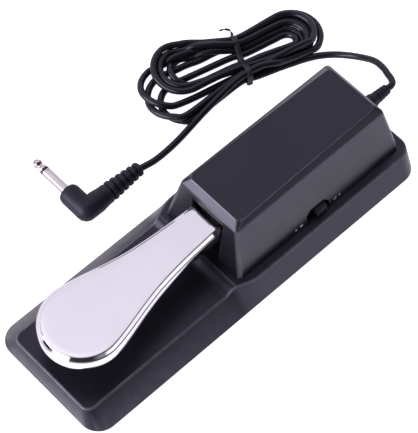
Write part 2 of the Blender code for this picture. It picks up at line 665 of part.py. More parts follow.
def build_bracket():
    low = BRACKET_Z
    sheet = BRACKET_SHEET
    top = PIVOT.z + 0.0080
    section = [(-CHEEK_OUTER, low + 0.001), (-CHEEK_OUTER + 0.001, low), (CHEEK_OUTER - 0.001, low),
               (CHEEK_OUTER, low + 0.001), (CHEEK_OUTER, top), (CHEEK_INNER, top), (CHEEK_INNER, low + sheet),
               (-CHEEK_INNER, low + sheet), (-CHEEK_INNER, top), (-CHEEK_OUTER, top)]
    bracket = prism("bracket", section, BRACKET_FRONT_Y, BRACKET_REAR_Y, "Y", look="steel")
    front = [(BRACKET_FRONT_Y - 0.01, low + 0.0050), (PIVOT.y - 0.0140, low + 0.0050),
             (PIVOT.y - 0.0080, top - 0.004), (PIVOT.y - 0.0040, top + 0.002),
             (BRACKET_FRONT_Y - 0.01, top + 0.002)]
    rear = [(BRACKET_REAR_Y + 0.01, low + 0.0050), (BRACKET_REAR_Y + 0.01, top + 0.002),
            (PIVOT.y + 0.0040, top + 0.002), (PIVOT.y + 0.0080, top - 0.004),
            (PIVOT.y + 0.0140, low + 0.0050)]
    for name, outline in (("cheek_cut_front", front), ("cheek_cut_rear", rear)):
        cut(bracket, prism(name, outline, -0.0300, 0.0300, "X", helper=True))
    ear_low = (EAR_X, SWITCH_FRONT_Y + 0.0016, low + sheet / 2)
    join(bracket, box("switch_ear", ear_low, (EAR_X + EAR_SHEET, SWITCH_REAR_Y - 0.0017, 0.0355),
                      helper=True))
    drill("cheek_bore", bracket, (-0.0300, PIVOT.y, PIVOT.z), (0.0300, PIVOT.y, PIVOT.z),
          BUSHING_RADIUS + GAP, steps=24)
    for number, (x, y) in enumerate(BRACKET_SCREW_SPOTS, 1):
        drill(f"bracket_hole_{number}", bracket, (x, y, 0.0150), (x, y, 0.0230), SCREW_HOLE_RADIUS)
    for number, y in enumerate(SWITCH_SCREW_YS, 1):
        drill(f"ear_hole_{number}", bracket, (0.0040, y, SWITCH_SCREW_Z), (0.0090, y, SWITCH_SCREW_Z),
              SMALL_HOLE_RADIUS + 0.0001)
    screw_set("bracket_screw", BRACKET_SCREW_SPOTS, BRACKET_Z + BRACKET_SHEET + GAP, 0.0080, -1)


def build_axle():
    ends = [(sign * AXLE_HALF_LENGTH, PIVOT.y, PIVOT.z) for sign in (-1, 1)]
    rod("pivot_axle", *ends, AXLE_RADIUS, "plated_steel", steps=24)
    for number, sign in enumerate((-1, 1), 1):
        along = (sign, 0, 0)
        start = (sign * (CHEEK_INNER - FLANGE_THICKNESS - GAP), PIVOT.y, PIVOT.z)
        bushing = ring(f"bushing_{number}", start, along, BUSHING_RADIUS, AXLE_BORE, BUSHING_LENGTH, "nylon")
        join(bushing, ring(f"bushing_flange_{number}", start, along, FLANGE_RADIUS, AXLE_BORE,
                           FLANGE_THICKNESS, helper=True))
        clip = (sign * (CHEEK_OUTER + 0.0014), PIVOT.y, PIVOT.z)
        ring(f"retaining_ring_{number}", clip, (sign, 0, 0), 0.0046, AXLE_RADIUS + 0.0001, 0.0008,
             "plated_steel")


def build_return_spring():
    seat_y = on_pivot((0, SPRING_Y, 0)).y
    low = REAR_DECK_Z + GAP
    seat = [(0.0090, 0.0), (0.0090, 0.0035), (0.0084, 0.0040), (0.0042, 0.0040), (0.0040, 0.0090),
            (0.0030, 0.0100)]
    turned("spring_seat", seat, (0, seat_y, low), (0, 0, 1), "nylon", steps=24)
    bottom = low + 0.0040 + GAP + SPRING_WIRE
    top = on_pivot((0, SPRING_Y, LEVER_BOTTOM)).z - GAP - SPRING_WIRE - 0.0003
    per_turn = 14
    count = int(SPRING_TURNS * per_turn)
    points = []
    for i in range(count + 1):
        share = i / count
        climb = smoothstep(0.0, 1.0, share) * 0.35 + share * 0.65
        angle = 2 * math.pi * SPRING_TURNS * share
        points.append((SPRING_RADIUS * math.cos(angle), seat_y + SPRING_RADIUS * math.sin(angle),
                       bottom + (top - bottom) * climb))
    tube("return_spring", points, SPRING_WIRE, "steel", 1)


def build_stops():
    centre = on_pivot((0, -0.0500, LEVER_TOP))
    low = (-0.0078, centre.y - 0.0050, centre.z + GAP + 0.0001)
    box("rest_stop", low, (0.0078, centre.y + 0.0050, 0.0502), "felt")
    profile = [(0.0060, 0.0), (0.0052, 0.0030), (0.0048, 0.0145), (0.0038, 0.0158)]
    turned("down_stop", profile, (0, 0.0028, REAR_DECK_Z + GAP), (0, 0, 1), "black_rubber", steps=20)


def small_screw(length):
    """The profile of a small pan head screw, from its head down."""
    radius = SMALL_SCREW_RADIUS
    return [(0.0, -0.0010), (radius, -0.0010), (0.0019, 0.0), (radius, 0.0), (radius, length - 0.0006),
            (0.0004, length)]


def build_micro_switch():
    low = BRACKET_Z + BRACKET_SHEET + GAP
    body = box("micro_switch", (-SWITCH_HALF_WIDTH, SWITCH_FRONT_Y, low),
               (SWITCH_HALF_WIDTH, SWITCH_REAR_Y, SWITCH_TOP_Z), "black_plastic", rounding=0.0004)
    plunger_y = on_pivot((0, STRIKER_Y, 0)).y
    drill("plunger_pocket", body, (0, plunger_y, 0.0328), (0, plunger_y, 0.0400),
          PLUNGER_RADIUS + GAP, steps=16)
    plunger = [(PLUNGER_RADIUS, 0.0), (PLUNGER_RADIUS, 0.0034), (PLUNGER_RADIUS * 0.67, 0.0038)]
    turned("switch_plunger", plunger, (0, plunger_y, PLUNGER_BOTTOM_Z), (0, 0, 1), "nylon", steps=16)
    for number, y in enumerate(SWITCH_SCREW_YS, 1):
        drill(f"switch_hole_{number}", body, (-0.0100, y, SWITCH_SCREW_Z),
              (SWITCH_HALF_WIDTH + 0.0005, y, SWITCH_SCREW_Z), SMALL_HOLE_RADIUS + 0.0001)
        turned(f"micro_switch_screw_{number}", small_screw(0.0126),
               (-SWITCH_HALF_WIDTH - GAP, y, SWITCH_SCREW_Z), (1, 0, 0), "plated_steel", steps=12)


# ---- polarity switch ----------------------------------------------------------------------------------
def build_polarity_switch():
    face_x = BOARD_X + BOARD_SHEET
    board = box("polarity_board", (BOARD_X, 0.0340, 0.0196), (face_x, 0.0790, 0.0395), "board_green")
    for number, y in enumerate(BOARD_SCREW_YS, 1):
        drill(f"board_hole_{number}", board, (0.0150, y, BOARD_SCREW_Z), (0.0300, y, BOARD_SCREW_Z),
              SMALL_HOLE_RADIUS)
        turned(f"board_screw_{number}", small_screw(0.0064), (face_x + GAP, y, BOARD_SCREW_Z), (-1, 0, 0),
               "plated_steel", steps=12)
    body = box("slide_switch", (face_x + GAP, 0.0475, 0.0201), (SLIDE_FACE_X, 0.0675, 0.0270),
               "black_plastic", rounding=0.0003)
    cut(body, box("slide_window", (0.0262, 0.0505, 0.0219), (SLIDE_FACE_X + 0.0017, 0.0645, 0.0252),
                  helper=True))
    low = (SLIDE_FACE_X + 0.0004, KNOB_Y - KNOB_HALF_LENGTH, KNOB_BOTTOM_Z)
    knob = box("slide_knob", low, (KNOB_OUTER_X, KNOB_Y + KNOB_HALF_LENGTH, KNOB_TOP_Z), "black_plastic",
               origin=Vector((low[0], KNOB_Y, (KNOB_BOTTOM_Z + KNOB_TOP_Z) / 2)), rounding=0.0004)
    join(knob, box("knob_neck", (0.0266, KNOB_Y - 0.0022, 0.0222), (0.0300, KNOB_Y + 0.0022, 0.0249),
                   helper=True))


def build_wires():
    """Micro switch to board, and board to cord."""
    gland_y = 0.1135
    runs = {
        "switch_wire_1": [(0, 0.0592, 0.0250), (0.0006, 0.0640, 0.0247), (0.0055, 0.0735, 0.0255),
                          (0.0100, 0.0800, 0.0275), (0.0150, 0.0845, 0.0290), (0.0200, 0.0862, 0.0292),
                          (0.0236, 0.0835, 0.0290), (0.0239, 0.0765, 0.0288)],
        "switch_wire_2": [(0, 0.0592, 0.0300), (0.0006, 0.0640, 0.0300), (0.0045, 0.0745, 0.0305),
                          (0.0085, 0.0815, 0.0320), (0.0145, 0.0865, 0.0330), (0.0210, 0.0885, 0.0332),
                          (0.0248, 0.0845, 0.0330), (0.0239, 0.0765, 0.0320)],
        "cord_wire_1": [(0.0236, 0.0730, 0.0240), (0.0250, 0.0790, 0.0235), (0.0225, 0.0880, 0.0235),
                        (0.0120, 0.0980, 0.0240), (0.0040, 0.1060, 0.0255), (0.0018, gland_y, 0.0265)],
        "cord_wire_2": [(0.0236, 0.0730, 0.0213), (0.0252, 0.0790, 0.0208), (0.0200, 0.0880, 0.0208),
                        (0.0080, 0.0970, 0.0212), (-0.0010, 0.1050, 0.0240), (-0.0018, gland_y, 0.0265)],
    }
    for name, points in runs.items():
        look = "red_wire" if name.endswith("1") else "black_cable"
        tube(name, smooth_route(points, WIRE_RADIUS * 5), WIRE_RADIUS, look, 1)


# ---- cord ---------------------------------------------------------------------------------------------
def build_cord_boot():
    """The strain relief: a flange inside the rear wall, and a stepped sleeve outside it."""
    end = BOOT_END_Y - BOOT_START_Y
    r = BOOT_RADIUS
    profile = [(0.0062, 0.0), (0.0062, 0.0045), (r, 0.0050), (r, 0.0150), (r * 1.2, 0.0152),
               (r * 1.17, 0.0225), (r, 0.0230), (r * 0.95, end - 0.0015), (r * 0.79, end)]
    turned("cord_boot", profile, (0, BOOT_START_Y, CORD_EXIT_Z), (0, 1, 0), "black_rubber", steps=24)


def coil_outline():
    """The coiled cord seen from above, anticlockwise from its rear end."""
    def loop(circle, start, end, count):
        x, y, radius = circle
        return arc((x, y), radius, start, end, count)

    outline = loop(REAR_LOOP, -5, 158, 12) + OUTER_SIDE
    outline += loop(OUTER_LOOP, 130, 213, 6) + loop(MIDDLE_LOOP, 188, 245, 4) + loop(INNER_LOOP, 236, 352, 8)
    return outline + INNER_SIDE


def build_coil():
    prism("cord_coil", coil_outline(), COIL_BOTTOM_Z, COIL_TOP_Z, look="black_cable")

    turn = Matrix.Rotation(TIE_LEAN, 4, "Z")
    turn.translation = TIE_CENTRE

    def band(name, grow, width, helper):
        half = TIE_OPENING_HALF + grow
        low, high = COIL_BOTTOM_Z - GAP - grow, COIL_TOP_Z + GAP + grow
        corners = [(-half, low), (half, low), (half, high), (-half, high)]
        rings = [[tuple(turn @ Vector((x, y, z))) for x, z in corners] for y in (-width / 2, width / 2)]
        return loft(name, rings, "black_rubber", helper=helper)

    tie = band("cord_tie", TIE_THICKNESS, TIE_WIDTH, False)
    cut(tie, band("tie_opening", 0.0, TIE_WIDTH * 3, True))


def build_cord_runs():
    tail = smooth_route(TAIL_ROUTE, CORD_RADIUS * 4)
    tail.insert(1, tail[0] + Vector((0.0, 0.0022, 0.0)))  # it leaves the boot square
    tube("cord_tail", tail, CORD_RADIUS, "black_cable")
    tube("cord_lead", smooth_route(LEAD_ROUTE, CORD_RADIUS * 4), CORD_RADIUS, "black_cable")


def build_plug():
    """A right-angle mono plug. The shank lies along X and the cord leaves along Y."""
    elbow = PLUG_ELBOW
    r = PLUG_BODY_RADIUS
    reach = elbow.x - PLUG_NOSE_X
    nose = [(0.0042, 0.0), (0.0058, 0.0002), (0.0071, 0.0022), (r, 0.0040), (r, reach + r * 0.35),
            (r * 0.80, reach + r * 0.8), (r * 0.35, reach + r)]
    body = turned("plug_body", nose, (PLUG_NOSE_X, elbow.y, elbow.z), (1, 0, 0), "black_rubber", steps=20)
    leg_length = PLUG_BOOT_END_Y - (elbow.y - r)
    leg = [(r * 0.35, 0.0), (r * 0.80, r * 0.20), (r, r * 0.65), (r, r * 2.2), (0.0068, r * 2.6),
           (0.0064, r * 3.4)]
    ribs = 6
    first, last = r * 3.5, leg_length - 0.0010
    for i in range(ribs):
        start = first + (last - first) * i / ribs
        step = (last - first) / ribs
        outer = 0.0064 + (0.0042 - 0.0064) * i / ribs
        leg += [(outer - 0.0012, start), (outer - 0.0012, start + step * 0.3), (outer, start + step * 0.36),
                (outer - 0.0002, start + step * 0.98)]
    leg.append((0.0030, leg_length))
    join(body, turned("plug_leg", leg, (elbow.x, elbow.y - r, elbow.z), (0, 1, 0), helper=True, steps=20))

    axis = (1, 0, 0)
    tip = [(0.0, 0.0), (0.0010, 0.0001), (0.0021, 0.0012), (0.0031, 0.0034), (0.0031, 0.0040),
           (0.0021, 0.0058), (0.0021, 0.0064), (0.0030, 0.0078), (0.0030, 0.0092)]
    turned("plug_tip", tip, (PLUG_TIP_X, elbow.y, elbow.z), axis, "nickel", steps=24)
    ring_x = PLUG_TIP_X + 0.0092 + GAP
    turned("plug_insulator", [(0.0031, 0.0), (0.0031, 0.0013)], (ring_x, elbow.y, elbow.z), axis,
           "black_plastic", steps=24)
    sleeve_x = ring_x + 0.0013 + GAP
    sleeve_end = PLUG_NOSE_X - GAP
    turned("plug_sleeve", [(PLUG_SHANK_RADIUS, 0.0), (PLUG_SHANK_RADIUS, sleeve_end - sleeve_x)],
           (sleeve_x, elbow.y, elbow.z), axis, "nickel", steps=24)


build_base_shell()
build_bottom_plate()
build_feet()
build_housing()
build_moving_pedal()
build_bracket()
build_axle()
build_return_spring()
build_stops()
build_micro_switch()
build_polarity_switch()
build_wires()
build_cord_boot()
build_coil()
build_cord_runs()
build_plug()
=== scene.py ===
"""The looks of the sustain pedal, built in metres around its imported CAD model."""

import math

import bmesh
import bpy
import numpy as np
from mathutils import Matrix, Vector


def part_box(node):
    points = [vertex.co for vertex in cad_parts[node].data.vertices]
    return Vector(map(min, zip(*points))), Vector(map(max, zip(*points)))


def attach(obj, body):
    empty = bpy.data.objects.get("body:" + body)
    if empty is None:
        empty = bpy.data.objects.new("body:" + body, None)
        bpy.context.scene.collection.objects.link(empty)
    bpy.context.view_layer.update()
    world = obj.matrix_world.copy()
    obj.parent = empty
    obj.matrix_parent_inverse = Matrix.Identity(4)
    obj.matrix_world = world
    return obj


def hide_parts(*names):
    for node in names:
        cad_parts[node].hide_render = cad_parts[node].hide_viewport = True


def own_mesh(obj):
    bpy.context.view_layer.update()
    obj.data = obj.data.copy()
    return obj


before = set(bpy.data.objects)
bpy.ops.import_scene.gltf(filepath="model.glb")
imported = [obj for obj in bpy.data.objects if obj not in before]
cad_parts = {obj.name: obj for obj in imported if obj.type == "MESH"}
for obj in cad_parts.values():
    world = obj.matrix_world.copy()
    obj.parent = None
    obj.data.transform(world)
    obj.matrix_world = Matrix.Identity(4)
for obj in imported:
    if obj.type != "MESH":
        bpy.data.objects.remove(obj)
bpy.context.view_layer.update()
SCENE = bpy.context.scene

# ---- driving dimensions, as in the CAD model ----
GAP = 0.0003
FRONT_Y, REAR_Y = -0.1350, 0.1350
FOOT_HEIGHT = 0.0020
BASE_HALF_WIDTH = 0.0453
BASE_CORNER = 0.0130
BASE_WALL = 0.0030
DECK_WALL = 0.0025
FRONT_DECK_Z, REAR_DECK_Z = 0.0145, 0.0191
FRONT_RIM_HALF, REAR_RIM_HALF = 0.0334, 0.0386
FRONT_RIM_SETBACK, REAR_RIM_SETBACK = 0.0038, 0.0014
FRONT_RIM_CORNER, REAR_RIM_CORNER = 0.0060, 0.0100
RAMP_START_Y, RAMP_END_Y = -0.0220, -0.0125
FLARE_START_Y, FLARE_END_Y = -0.0190, 0.0010
RIM_ROUNDING = 0.0012
PLATE_RECESS_INSET = 0.0037
PLATE_RECESS_TOP = 0.0044
FOOT_SPOTS = [(-0.0250, -0.0950), (0.0250, -0.0950), (-0.0250, 0.0950), (0.0250, 0.0950)]
FOOT_HALF_WIDTH, FOOT_HALF_LENGTH, FOOT_CORNER = 0.0110, 0.0230, 0.0070
GROOVE_PITCH, GROOVE_HALF_LENGTH = 0.0030, 0.0075
BASE_SCREW_SPOTS = [(-0.0100, -0.1180), (0.0100, -0.1180), (-0.0290, -0.0300), (0.0290, -0.0300),
                    (-0.0100, 0.1220), (0.0100, 0.1220)]
HOUSING_SCREW_SPOTS = [(-0.0245, 0.0150), (0.0245, 0.0150), (-0.0245, 0.1050), (0.0245, 0.1050)]
BOSS_RADIUS, SCREW_HOLE_RADIUS = 0.0035, 0.0017
BASE_HOLE_TOP_Z = 0.0110
HOUSING_HOLE_BOTTOM_Z, HOUSING_HOLE_TOP_Z = 0.0120, 0.0230

# each housing ring is (height, front y, rear y, half-width in front, half-width behind)
HOUSING_BOTTOM = (0.0194, -0.0089, 0.1275, 0.0327, 0.0327)
HOUSING_SHOULDER = (0.0591, -0.0043, 0.1190, 0.0244, 0.0244)
HOUSING_TOP = (0.0635, 0.0003, 0.1153, 0.0214, 0.0192)
HOUSING_WALL = 0.0023
HOUSING_CORNER = 0.0028
HOUSING_EDGE = 0.0010
# the curvatures, in 1/m, between which an edge starts to be lightened, as wear and a painted highlight, and
# is fully lightened
EDGE_WEAR_AND_HIGHLIGHT = (130.0, 380.0)
# on the housing the lightened edge is a painted highlight line
HOUSING_EDGE_HIGHLIGHT = (170.0, 560.0)
MOUTH_HALF_WIDTH, MOUTH_TOP_Z = 0.0135, 0.0543
NOTCH_FRONT_Y, NOTCH_REAR_Y, NOTCH_TOP_Z, NOTCH_CHAMFER = 0.0480, 0.0670, 0.0290, 0.0045
BOOT_CLEARANCE = 0.0004
CORD_EXIT_Z = 0.0270

PIVOT = Vector((0.0, 0.0650, 0.0410))
PEDAL_TILT = math.radians(1.3)
PEDAL_TOP, PEDAL_SKIRT = 0.0102, 0.0095
PEDAL_ROOF, PEDAL_WALL = 0.0022, 0.0022
PEDAL_NECK_Y, PEDAL_NECK_CORNER = -0.0672, 0.0017
PEDAL_NOSE_Y, PEDAL_NOSE_RADIUS = -0.1677, 0.0267
# (distance forward of the neck's end, half-width)
PEDAL_FLANK = [(0.0017, 0.0122), (0.0194, 0.0131), (0.0364, 0.0144), (0.0534, 0.0166),
               (0.0684, 0.0198), (0.0824, 0.0234), (0.0924, 0.0257)]
# the polished edge, as (inset from the side, depth below the top), from the bevel's foot up to the flat
PEDAL_EDGE = [(0.0000, 0.00262), (0.00003, 0.00250), (0.00012, 0.00240), (0.00070, 0.00219),
              (0.00078, 0.00210), (0.00200, 0.00070), (0.00212, 0.00056), (0.00230, 0.00042),
              (0.00255, 0.00032), (0.0030, 0.00022), (0.0037, 0.00013), (0.0048, 0.00005), (0.0064, 0.0000)]
# the side below it, which curls from a slight slope to just past upright
SKIRT_START_DEPTH, SKIRT_END_DEPTH = 0.00262, 0.0086
SKIRT_START_SLOPE, SKIRT_END_SLOPE = 16.0, -2.0
LEVER_SLOT = 0.0086
STUD_SPOTS = (-0.0950, -0.1350)
STUD_RADIUS, STUD_BOTTOM = 0.0020, -0.0017
SPRING_Y, SPRING_RADIUS, SPRING_WIRE, SPRING_TURNS = 0.0190, 0.0060, 0.0008, 6

KNOB_FACE_X, KNOB_OUTER_X = 0.0287, 0.0336
KNOB_Y, KNOB_HALF_LENGTH = 0.0595, 0.0038
KNOB_BOTTOM_Z, KNOB_TOP_Z = 0.0204, 0.0262
KNOB_RIDGES = 5
KNOB_RIDGE_DEPTH = 0.0005
MARK_Z, MARK_THICKNESS, MARK_SUNK = 0.0222, 0.0001, 0.00004

CORD_RADIUS = 0.00225
BOOT_START_Y, BOOT_END_Y, BOOT_RADIUS = 0.1142, 0.1495, 0.0042
TIE_CENTRE = Vector((-0.0905, 0.1098, 0.0))
TIE_LEAN = math.radians(-25.0)
TIE_ACROSS = Vector((math.cos(TIE_LEAN), math.sin(TIE_LEAN), 0.0))
TIE_FORWARD = Vector((-math.sin(TIE_LEAN), math.cos(TIE_LEAN), 0.0))
TIE_WIDTH, TIE_THICKNESS = 0.0036, 0.0008
# the twisted end, as steps from where it leaves the bundle, and how far it turns on the way
TIE_CURL = [(0.0, 0.0, 0.0), (-0.0012, 0.0004, 0.0010), (-0.0026, 0.0006, 0.0016),
            (-0.0040, 0.0002, 0.0019), (-0.0054, -0.0008, 0.0020), (-0.0067, -0.0024, 0.0018),
            (-0.0077, -0.0044, 0.0014)]
TIE_TWIST = math.radians(430)

PLUG_ELBOW = Vector((-0.0722, -0.0390, 0.0076))
PLUG_BODY_RADIUS, PLUG_SHANK_RADIUS = 0.0073, 0.003175
PLUG_NOSE_X, PLUG_TIP_X, PLUG_BOOT_END_Y = -0.0905, -0.1210, 0.0055

# The cord from the boot down to the floor and into the coil, and from the coil to the plug.
TAIL_ROUTE = [(0.0000, 0.1490, 0.0270), (0.0000, 0.1528, 0.0270), (-0.0014, 0.1562, 0.0264),
              (-0.0066, 0.1583, 0.0248), (-0.0120, 0.1608, 0.0229), (-0.0190, 0.1631, 0.0199),
              (-0.0268, 0.1643, 0.0165), (-0.0342, 0.1640, 0.0133), (-0.0405, 0.1626, 0.0105),
              (-0.0460, 0.1603, 0.0080), (-0.0507, 0.1573, 0.0060), (-0.0549, 0.1534, 0.0044),
              (-0.0594, 0.1475, 0.0033), (-0.0622, 0.1422, 0.0028), (-0.0645, 0.1365, 0.0026),
              (-0.0672, 0.1295, 0.0026), (-0.0705, 0.1215, 0.0026)]
LEAD_ROUTE = [(-0.0700, 0.1215, 0.0075), (-0.0745, 0.1120, 0.0085), (-0.0768, 0.1030, 0.0072),
              (-0.0778, 0.0935, 0.0050), (-0.0774, 0.0830, 0.0034), (-0.0766, 0.0720, 0.0028),
              (-0.0757, 0.0610, 0.0026), (-0.0745, 0.0500, 0.0026), (-0.0734, 0.0410, 0.0026),
              (-0.0725, 0.0320, 0.0027), (-0.0717, 0.0220, 0.0034), (-0.0716, 0.0140, 0.0046),
              (-0.0721, 0.0060, 0.0066), (-0.0722, 0.0000, 0.0076)]
# One row for each turn of the coil: the front loop, the outer lane under the tie, the rear loop and the
# inner lane under the tie. A loop is (centre x, centre y, radius, height), a lane is (offset, height).
COIL_TURNS = [
    ((-0.0925, 0.0610, 0.0148, 0.0026), (-0.0040, 0.0026),
     (-0.0805, 0.1412, 0.0068, 0.0050), (0.0040, 0.0026)),
    ((-0.1075, 0.0780, 0.0112, 0.0050), (-0.0080, 0.0028),
     (-0.0800, 0.1422, 0.0098, 0.0030), (0.0074, 0.0034)),
    ((-0.1100, 0.0765, 0.0148, 0.0095), (-0.0103, 0.0071),
     (-0.0805, 0.1430, 0.0124, 0.0071), (0.0088, 0.0075)),
    ((-0.1098, 0.0762, 0.0186, 0.0100), (-0.0145, 0.0071),
     (-0.0825, 0.1460, 0.0158, 0.0071), (0.0128, 0.0071)),
    ((-0.0985, 0.0603, 0.0185, 0.0040), (-0.0122, 0.0026),
     (-0.0820, 0.1448, 0.0146, 0.0026), (0.0108, 0.0026)),
    ((-0.1080, 0.0602, 0.0165, 0.0071), (-0.0165, 0.0026),
     (-0.0815, 0.1475, 0.0186, 0.0030), None),
]
TAIL_LANE = (0.0152, 0.0026)

# ---- camera and light, measured from the middle of the floor under the base ----
CAMERA_PLACE = (0.43421, -0.41169, 1.06597)
CAMERA_AIM = (-0.36803, 0.34604, -0.86302)
CAMERA_LENS = 166.28

# How strongly the floor glows: to the camera, and as a light, from its dim left side to its bright right.
FLOOR_SEEN = 1.12
FLOOR_LIGHT_LEFT, FLOOR_LIGHT_RIGHT = 0.25, 0.70
FLOOR_LEFT_X, FLOOR_RIGHT_X = -0.060, 0.020
FLOOR_HALF, FLOOR_Z = 4.0, -0.0002
# Soft boxes on the studio's walls and ceiling: direction, cosines where the light begins and is full, how
# high above the horizon it begins, is full, begins to fade and ends, colour and strength.
SOFT_BOXES = [
    ((-0.720, 0.420, 0.550), (0.42, 0.74), (0.06, 0.22, 2.0, 3.0), (0.93, 0.88, 1.00), 0.90),
    ((-0.232, -0.934, 0.300), (0.84, 0.89), (0.11, 0.18, 0.52, 0.66), (0.97, 0.93, 1.00), 9.0),
    ((0.800, 0.600, 0.000), (0.74, 0.80), (-0.02, 0.00, 0.25, 0.29), (0.97, 0.93, 1.00), 1.10),
    ((0.850, 0.450, 0.300), (0.60, 0.85), (0.15, 0.26, 0.50, 0.70), (0.93, 0.90, 1.00), 0.28),
    ((-0.250, -0.300, 0.920), (0.80, 0.98), (0.00, 0.20, 2.0, 3.0), (0.93, 0.90, 1.00), 0.30),
]
STUDIO_DARK = (0.030, 0.028, 0.034)


def add_camera():
    camera = bpy.data.objects.new("camera", bpy.data.cameras.new("camera"))
    camera.data.lens = CAMERA_LENS
    camera.data.sensor_width = 36.0
    camera.data.clip_start = 0.05
    camera.data.clip_end = 20.0
    camera.location = CAMERA_PLACE
    camera.rotation_mode = "QUATERNION"
    camera.rotation_quaternion = Vector(CAMERA_AIM).to_track_quat("-Z", "Y")
    SCENE.collection.objects.link(camera)
    SCENE.camera = camera


# ---- node materials ----
class Graph:
    """A node tree, with short ways to add nodes to it and to join them."""

    def __init__(self, tree):
        self.tree = tree

    def node(self, kind, *inputs, **settings):
        """Adds a node with its settings, and gives its sockets values or other nodes' outputs."""
        made = self.tree.nodes.new("ShaderNode" + kind)
        for key, value in settings.items():
            setattr(made, key, value)
        for socket, value in inputs:
            self.put(value, made.inputs[socket])
        return made

    def put(self, value, socket):
        if isinstance(value, bpy.types.NodeSocket):
            self.tree.links.new(value, socket)
        elif socket.type == "RGBA":
            socket.default_value = (*value, 1.0)
        else:
            socket.default_value = value

    def map_range(self, value, start, end, low, high, **settings):
        """Maps start..end on to low..high, and goes no further."""
        return self.node("MapRange", ("Value", value), ("From Min", start), ("From Max", end),
                         ("To Min", low), ("To Max", high), **settings).outputs["Result"]

    def times(self, a, b):
        return self.node("Math", (0, a), (1, b), operation="MULTIPLY").outputs["Value"]

    def mix(self, factor, colour_a, colour_b):
        made = self.node("Mix", ("Factor", factor), (6, colour_a), (7, colour_b), data_type="RGBA")
        return made.outputs[2]


class Look(Graph):
    """A Principled material with helpers that add noise, bump, and wear with a painted highlight on edges,
    in object space, in metres.
    """

    def __init__(self, name, colour, roughness, metallic=0.0, specular=0.5):
        self.material = bpy.data.materials.new(name)
        self.material.use_nodes = True
        self.material.diffuse_color = (*colour, 1.0)
        super().__init__(self.material.node_tree)
        self.shader = self.tree.nodes["Principled BSDF"]
        self.set("Base Color", colour)
        self.set("Roughness", roughness)
        self.set("Metallic", metallic)
        self.set("Specular IOR Level", specular)
        self.set("IOR", 1.5)
        self.place = self.node("TexCoord").outputs["Object"]
        self.normal = None

    def set(self, socket, value):
        self.put(value, self.shader.inputs[socket])

    def noise(self, per_metre, stretch=(1, 1, 1), detail=3.0):
        """Noise from 0 to 1, so many cells to a metre."""
        place = self.node("Mapping", ("Vector", self.place), ("Scale", stretch)).outputs["Vector"]
        return self.node("TexNoise", ("Vector", place), ("Scale", per_metre), ("Detail", detail),
                         ("Roughness", 0.55)).outputs["Fac"]

    def cells(self, per_metre):
        """Distance to the nearest point of a cell pattern."""
        return self.node("TexVoronoi", ("Vector", self.place), ("Scale", per_metre)).outputs["Distance"]

    def spread(self, value, low, high):
        """Maps the middle of noise, which seldom leaves it, on to low..high."""
        return self.map_range(value, 0.3, 0.7, low, high)

    def vary_colour(self, per_metre, colour_a, colour_b, **noise):
        self.colour = self.mix(self.spread(self.noise(per_metre, **noise), 0.0, 1.0), colour_a, colour_b)
        self.set("Base Color", self.colour)

    def vary_roughness(self, per_metre, low, high, **noise):
        self.set("Roughness", self.spread(self.noise(per_metre, **noise), low, high))

    def wear_and_highlight(self, colour, amount):
        """Lightens the rounded edges that mark_edges() found, broken up by noise: wear, with a painted
        highlight.
        """
        edge = self.node("Attribute", attribute_name="edge").outputs["Fac"]
        broken = self.times(edge, self.spread(self.noise(160.0), 0.55 * amount, amount))
        self.set("Base Color", self.mix(broken, self.colour, colour))

    def bump(self, height, depth, strength):
        made = self.node("Bump", ("Strength", strength), ("Distance", depth), ("Height", height))
        if self.normal:
            self.put(self.normal, made.inputs["Normal"])
        self.normal = made.outputs["Normal"]
        self.set("Normal", self.normal)


def moulded_plastic(name, colour, light, roughness, grain_depth, painted_highlight=None):
    """Injection moulded plastic with a fine spark-eroded grain."""
    look = Look(name, colour, roughness)
    look.set("Specular Tint", (0.79, 0.78, 1.0))
    look.vary_colour(16.0, colour, light, detail=2.0)
    look.vary_roughness(45.0, roughness - 0.04, roughness + 0.05)
    look.bump(look.noise(1900.0, detail=2.0), grain_depth, 0.35)
    look.bump(look.cells(1300.0), grain_depth, 0.15)
    # Rounded edges are lightened: a given colour paints a highlight line on them; otherwise a lighter tone
    # of the plastic paints wear and a highlight.
    if painted_highlight:
        look.wear_and_highlight(painted_highlight, 0.85)
    else:
        look.wear_and_highlight(tuple(c * 2.2 for c in light), 0.6)
    return look


def moulded_rubber(name, colour, light, roughness, grain_depth):
    look = Look(name, colour, roughness, specular=0.36)
    look.set("Specular Tint", (0.80, 0.78, 1.0))
    look.vary_colour(60.0, colour, light)
    look.vary_roughness(160.0, roughness - 0.06, roughness + 0.08)
    look.bump(look.noise(1500.0, detail=5.0), grain_depth, 0.7)
    # lighter rounded edges: wear and a painted highlight
    look.wear_and_highlight(tuple(c * 1.8 for c in light), 0.5)
    return look


def polished_chrome(name, dark, light):
    """Decorative chrome: a mirror with a faint haze and hairline polishing marks along its length."""
    look = Look(name, light, 0.06, metallic=1.0)
    look.vary_colour(30.0, dark, light)
    look.vary_roughness(70.0, 0.045, 0.085, stretch=(1, 0.4, 1))
    look.bump(look.noise(900.0, stretch=(1, 0.06, 1), detail=2.0), 0.0000006, 0.5)
    look.bump(look.noise(24.0, detail=1.0), 0.00002, 0.25)
    return look


def worked_metal(name, dark, light, low, high, stretch, depth):
    """Brushed, plated or drawn metal. The marks run along the axis with the small stretch."""
    look = Look(name, light, (low + high) / 2, metallic=1.0)
    look.vary_colour(90.0, dark, light)
    look.vary_roughness(700.0, low, high, stretch=stretch)
    look.bump(look.noise(1400.0, stretch=stretch), depth, 0.6)
    return look


